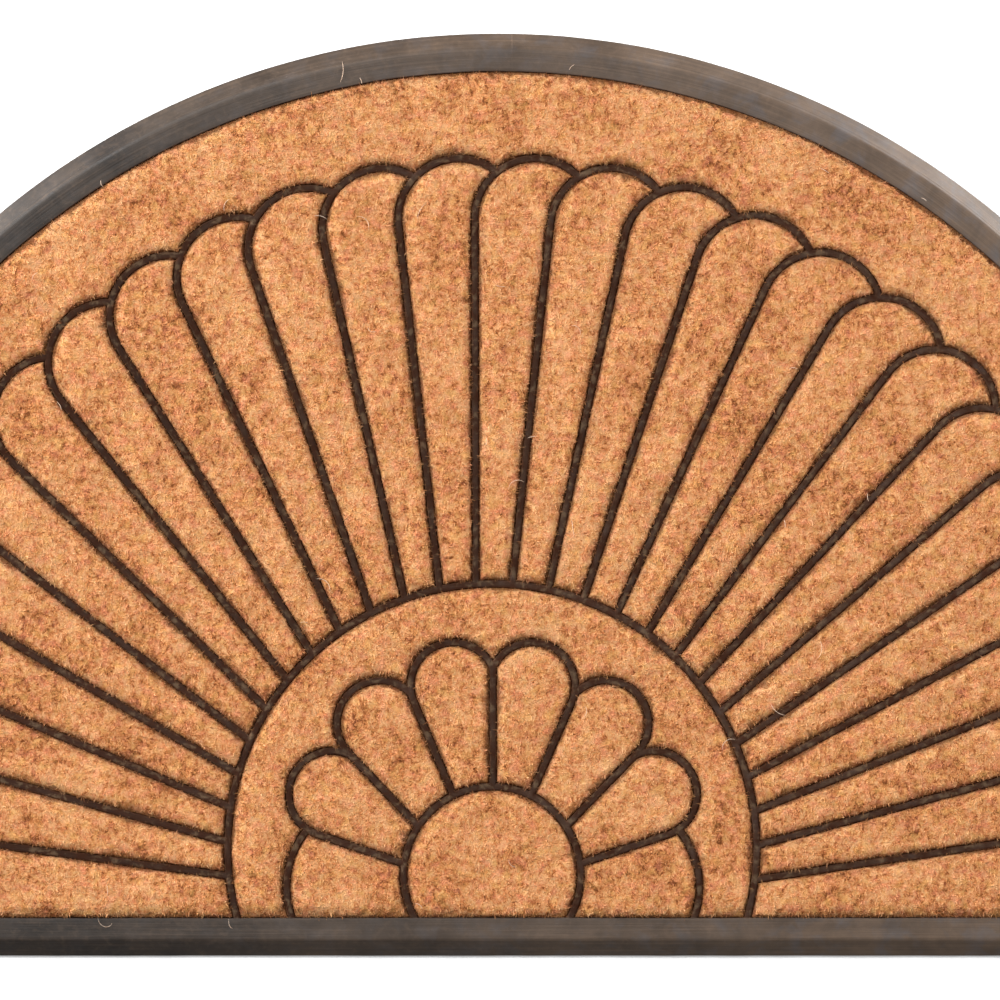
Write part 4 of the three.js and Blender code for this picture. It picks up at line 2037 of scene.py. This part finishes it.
@dataclass
class CoirPile:
    """All the pads of pile, one in each cell, and the fibres that stand on them."""

    mat: MatSizes
    pattern: SunburstPattern
    fibre_density: float = 685000.0
    fibre_length: float = 2.7 * MM
    fibre_thickness: float = 0.26 * MM
    fibre_lean: float = 0.8
    tuft_size: float = 2.8 * MM
    tuft_swirl: float = 3.6
    first_seed: int = 11
    seed_step: int = 20

    def groups(self) -> dict[str, list[str]]:
        """The nodes whose fibres make one piece, by that piece's name."""
        petals = self.pattern.fan_ribs + 1
        fan = [f"coir_fan_petal_{k + 1}" for k in range(petals)]
        third = petals // 3
        daisy_petals = 2 * (len(self.pattern.daisy_heads) + 1)
        return {
            "fibres_border": ["coir_border"],
            "fibres_fan_right": fan[:third],
            "fibres_fan_middle": fan[third:-third],
            "fibres_fan_left": fan[-third:],
            "fibres_daisy": ["coir_ring_band", "coir_daisy_disc",
                             *(f"coir_daisy_petal_{k + 1}" for k in range(daisy_petals))],
        }

    def build(self, tree: Tree, tray: Piece, pile: Material, fibre: Material) -> list[Piece]:
        """Builds the pads and their fibres.

        Args:
            tree: The Geometry Nodes tree that stands the fibres.
            tray: The tray that the pads lie in. It is not used.
            pile: The pads' material.
            fibre: The fibres' material.

        Returns:
            All the pieces.
        """
        ribs = RibFinder(self.pattern.lines())
        made = []
        for number, (name, nodes) in enumerate(self.groups().items()):
            pads = [CoirPad(node, self.mat) for node in nodes]
            pieces = [pad.build(ribs, pile) for pad in pads]
            seed = self.first_seed + self.seed_step * number
            fibres = self.stand(tree, name, pieces, fibre, seed)
            for pad, piece in zip(pads, pieces):
                size = pad.flat_size()
                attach(piece, BODY)
                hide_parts(pad.node)
            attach(fibres, BODY)
            made += [*pieces, fibres]
        return made

    def stand(self, tree: Tree, name: str, pads: list[Piece], material: Material,
              seed: int) -> Piece:
        """Stands fibres on some pads.

        Args:
            tree: The Geometry Nodes tree that stands the fibres.
            name: The new piece's name.
            pads: The pads.
            material: The fibres' material.
            seed: The fibres' seed.

        Returns:
            The fibres as one piece.
        """
        work = bmesh.new()
        for pad in pads:
            work.from_mesh(pad.data)
        ground = bpy.data.meshes.new("ground")
        work.to_mesh(ground)
        work.free()
        values = {
            "Density": self.fibre_density, "Length": self.fibre_length,
            "Thickness": self.fibre_thickness, "Lean": self.fibre_lean,
            "Tuft": self.tuft_size, "Swirl": self.tuft_swirl, "Seed": seed,
            "Material": material,
        }
        return grown(placed("ground", ground), tree, name, values)


@dataclass(frozen=True)
class Lamp:
    """One soft light that looks at the mat.

    Attributes:
        name: Its name.
        place: Where it hangs.
        size: Its width and height.
        power: Its power in watts.
    """

    name: str
    place: tuple[float, float, float]
    size: tuple[float, float]
    power: float

    def hang(self) -> Piece:
        """Hangs the light and returns it."""
        data = bpy.data.lights.new(self.name, "AREA")
        data.shape = "RECTANGLE"
        data.size, data.size_y = self.size
        data.energy = self.power
        light = placed(self.name, data)
        light.location = self.place
        light.rotation_euler = (-Vector(self.place)).to_track_quat("-Z", "Y").to_euler()
        light.visible_camera = False
        return light


@dataclass
class Studio:
    """A pale floor, soft lights all round, and a camera straight above the mat."""

    view_width: float = 489 * MM
    view_centre: tuple[float, float] = (1.12 * MM, -2.67 * MM)
    camera_height: float = 6.0
    nearest_seen: float = 0.05
    farthest_seen: float = 50.0
    sensor: float = 36.0
    focus_height: float = 7 * MM
    lamps: tuple[Lamp, ...] = (
        Lamp("overhead", (-3.2, 2.24, 5.58), (2.55, 2.55), 411),
        Lamp("left", (-2.3, 1.0, 0.36), (1.2, 0.52), 136),
        Lamp("right", (2.06, 1.4, 0.33), (1.8, 0.52), 104),
    )
    surroundings: Colour = (1.0, 1.0, 1.0, 1.0)
    surroundings_strength: float = 0.29
    floor_reach: float = 6.0
    floor_marks: Mottle = Mottle(0.2, 0.3, 0.7)
    floor_mark_share: float = 0.02
    floor_mark_colour: Colour = (0.8, 0.8, 0.8, 1.0)
    floor_colour: Colour = (0.92, 0.92, 0.92, 1.0)
    floor_in_reflections: Colour = (0.3, 0.3, 0.3, 1.0)
    floor_glow: Colour = (0.25, 0.25, 0.25, 1.0)
    no_glow: Colour = (0.0, 0.0, 0.0, 1.0)

    def camera(self) -> Piece:
        """Hangs the camera over the mat."""
        data = bpy.data.cameras.new("camera")
        data.sensor_width = self.sensor
        distance = self.camera_height - self.focus_height
        data.lens = self.sensor * distance / self.view_width
        data.clip_start = self.nearest_seen
        data.clip_end = self.farthest_seen
        camera = placed("camera", data)
        camera.location = (*self.view_centre, self.camera_height)
        bpy.context.scene.camera = camera
        return camera

    def floor(self, mottling: Tree) -> Piece:
        """Lays the floor. It glows and reflects less than the camera sees.

        Args:
            mottling: The shader group of soft marks.

        Returns:
            The floor.
        """
        reach = self.floor_reach
        corners = np.array([(-reach, -reach, 0), (reach, -reach, 0),
                            (reach, reach, 0), (-reach, reach, 0)])
        mesh = mesh_from("floor", corners, [(0, 1, 2, 3)])
        surface = Surface.named("floor", Specular_IOR_Level=0.1, Emission_Strength=1.0)
        canvas = surface.canvas
        faint = canvas.times(surface.mottled(mottling, self.floor_marks), self.floor_mark_share)
        tone = canvas.mixed(faint, self.floor_colour, self.floor_mark_colour)
        seen = canvas.node("ShaderNodeLightPath").outputs["Is Camera Ray"]
        surface.feed("Base Color", canvas.mixed(seen, self.floor_in_reflections, tone))
        surface.feed("Emission Color", canvas.mixed(seen, self.no_glow, self.floor_glow))
        mesh.materials.append(surface.material)
        floor = placed("floor", mesh)
        return floor

    def build(self, mottling: Tree) -> None:
        """Sets up the floor, lights, surroundings and camera.

        Args:
            mottling: The shader group of soft marks.
        """
        self.camera()
        self.floor(mottling)
        for lamp in self.lamps:
            lamp.hang()
        world = bpy.data.worlds.new("studio")
        world.use_nodes = True
        background = world.node_tree.nodes["Background"]
        background.inputs["Color"].default_value = self.surroundings
        background.inputs["Strength"].default_value = self.surroundings_strength
        scene = bpy.context.scene
        scene.world = world
        scene.view_settings.view_transform = "Standard"
        scene.view_settings.look = "None"


@dataclass(frozen=True)
class Strand:
    """One loose fibre, as a walk over the mat.

    Attributes:
        start: Where it starts.
        heading: The way it sets off, in degrees.
        length: Its length.
        turn: How far it turns on the way, in degrees.
        late: Above 1, it turns more towards its end.
    """

    start: complex
    heading: float
    length: float
    turn: float
    late: float = 1.0

    def path(self, steps: int = 12) -> Outline:
        """The points that it passes."""
        points = [self.start]
        for k in range(steps):
            share = (k + 0.5) / steps
            heading = self.heading + self.turn * share ** self.late
            points.append(points[-1] + cmath.rect(self.length / steps, math.radians(heading)))
        return points


@dataclass
class LooseFibres:
    """The loose fibres: some that show on the rim, and seeded ones over the pile and ribs."""

    mat: MatSizes
    thickness: float = 0.11 * MM
    count: int = 36
    shortest: float = 4 * MM
    longest: float = 11 * MM
    most_turn: float = 130.0
    over_pile: float = 1.9 * MM
    on_rubber: float = 0.12 * MM
    pile_rise: float = 2.5 * MM
    lift: float = 0.5 * MM
    sides: int = 5
    off_rim: float = 2 * MM
    seed: int = 5

    def on_rim(self) -> list[Strand]:
        """The fibres that lie on the rim, each where it starts on the real mat."""
        return [
            Strand(complex(-195.5, -206.6) * MM, -80, 10.5 * MM, 150, 1.5),
            Strand(complex(-131.5, -207.4) * MM, -88, 5.5 * MM, 90, 3.0),
            Strand(complex(-76.0, 211.5) * MM, -75, 10.0 * MM, -40),
            Strand(complex(-66.4, 200.8) * MM, 95, 3.2 * MM, 30),
            Strand(complex(209.5, 143.5) * MM, 125, 3.0 * MM, 50),
            Strand(complex(35.0, 207.6) * MM, 70, 3.6 * MM, -50),
            Strand(complex(-193.0, 150.5) * MM, 140, 3.6 * MM, -70),
        ]

    def scattered(self) -> list[Strand]:
        """The seeded fibres, spread evenly over the mat inside its rim."""
        random = np.random.default_rng(self.seed)
        least = self.mat.rim_width + self.off_rim
        strands: list[Strand] = []
        while len(strands) < self.count:
            place = complex(random.uniform(-1, 1) * self.mat.outer_radius,
                            random.uniform(-1, 1) * -self.mat.front)
            heading, turn, length = random.uniform((0, -1, 0), (360, 1, 1))
            if self.mat.inset(np.array([place]))[0] < least:
                continue
            length = self.shortest + (self.longest - self.shortest) * length ** 2
            strands.append(Strand(place, heading, length, turn * self.most_turn))
        return strands

    def heights(self, path: Outline) -> list[float]:
        """How high a strand's points lie: just on the rim, or among the tips of the pile."""
        mat = self.mat
        insets = mat.inset(np.array(path))
        heights = []
        for inset, share in zip(insets, np.linspace(0, 1, len(path))):
            arch = 4 * share * (1 - share)
            if inset < mat.rim_width:
                slope = mat.lip_top + (mat.rubber_top - mat.lip_top) * inset / mat.bevel_width
                heights.append(min(slope, mat.rubber_top) + self.thickness + self.on_rubber)
            else:
                on_pile = min((inset - mat.rim_width) / self.pile_rise, 1)
                heights.append(mat.rubber_top + self.over_pile * on_pile + self.lift * arch)
        return heights

    def build(self, tree: Tree, material: Material) -> Piece:
        """Builds the fibres as one piece.

        Args:
            tree: The Geometry Nodes tree that gives them their thickness.
            material: The loose fibres' material.

        Returns:
            The piece.
        """
        lines = []
        for strand in [*self.on_rim(), *self.scattered()]:
            path = strand.path()
            lines.append([(point.real, point.imag, height)
                          for point, height in zip(path, self.heights(path))])
        values = {"Thickness": self.thickness, "Sides": self.sides, "Material": material}
        piece = grown(curve_of("loose_paths", lines), tree, "loose_fibres", values)
        piece.data.shade_smooth()
        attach(piece, BODY)
        return piece


def triangles(piece: Piece) -> int:
    """Counts a mesh piece's triangles."""
    piece.data.calc_loop_triangles()
    return len(piece.data.loop_triangles)


def main() -> None:
    """Builds the studio, the tray and the pile, and reports each piece."""
    logging.basicConfig(level=logging.INFO, format="%(name)s: %(message)s")
    mat = MatSizes()
    pattern = SunburstPattern(mat)
    mottling = mottling_group()
    tangle = CoirTangle().group()
    Studio().build(mottling)
    rubber = RubberFinish().material(mottling)
    coir = CoirFinish()
    tray = RubberTray(mat, pattern).build(rib_tree(), rubber)
    pile = CoirPile(mat, pattern).build(
        StandingFibres().tree(), tray, coir.pile(tangle), coir.fibre(tangle))
    loose = LooseFibres(mat).build(hair_tree(), coir.stray(tangle))
    pieces = [tray, *pile, loose]
    for piece in pieces:
        LOG.info("%s: %d triangles", piece.name, triangles(piece))
    LOG.info("in all: %d triangles", sum(map(triangles, pieces)))


if __name__ == "__main__":
    main()
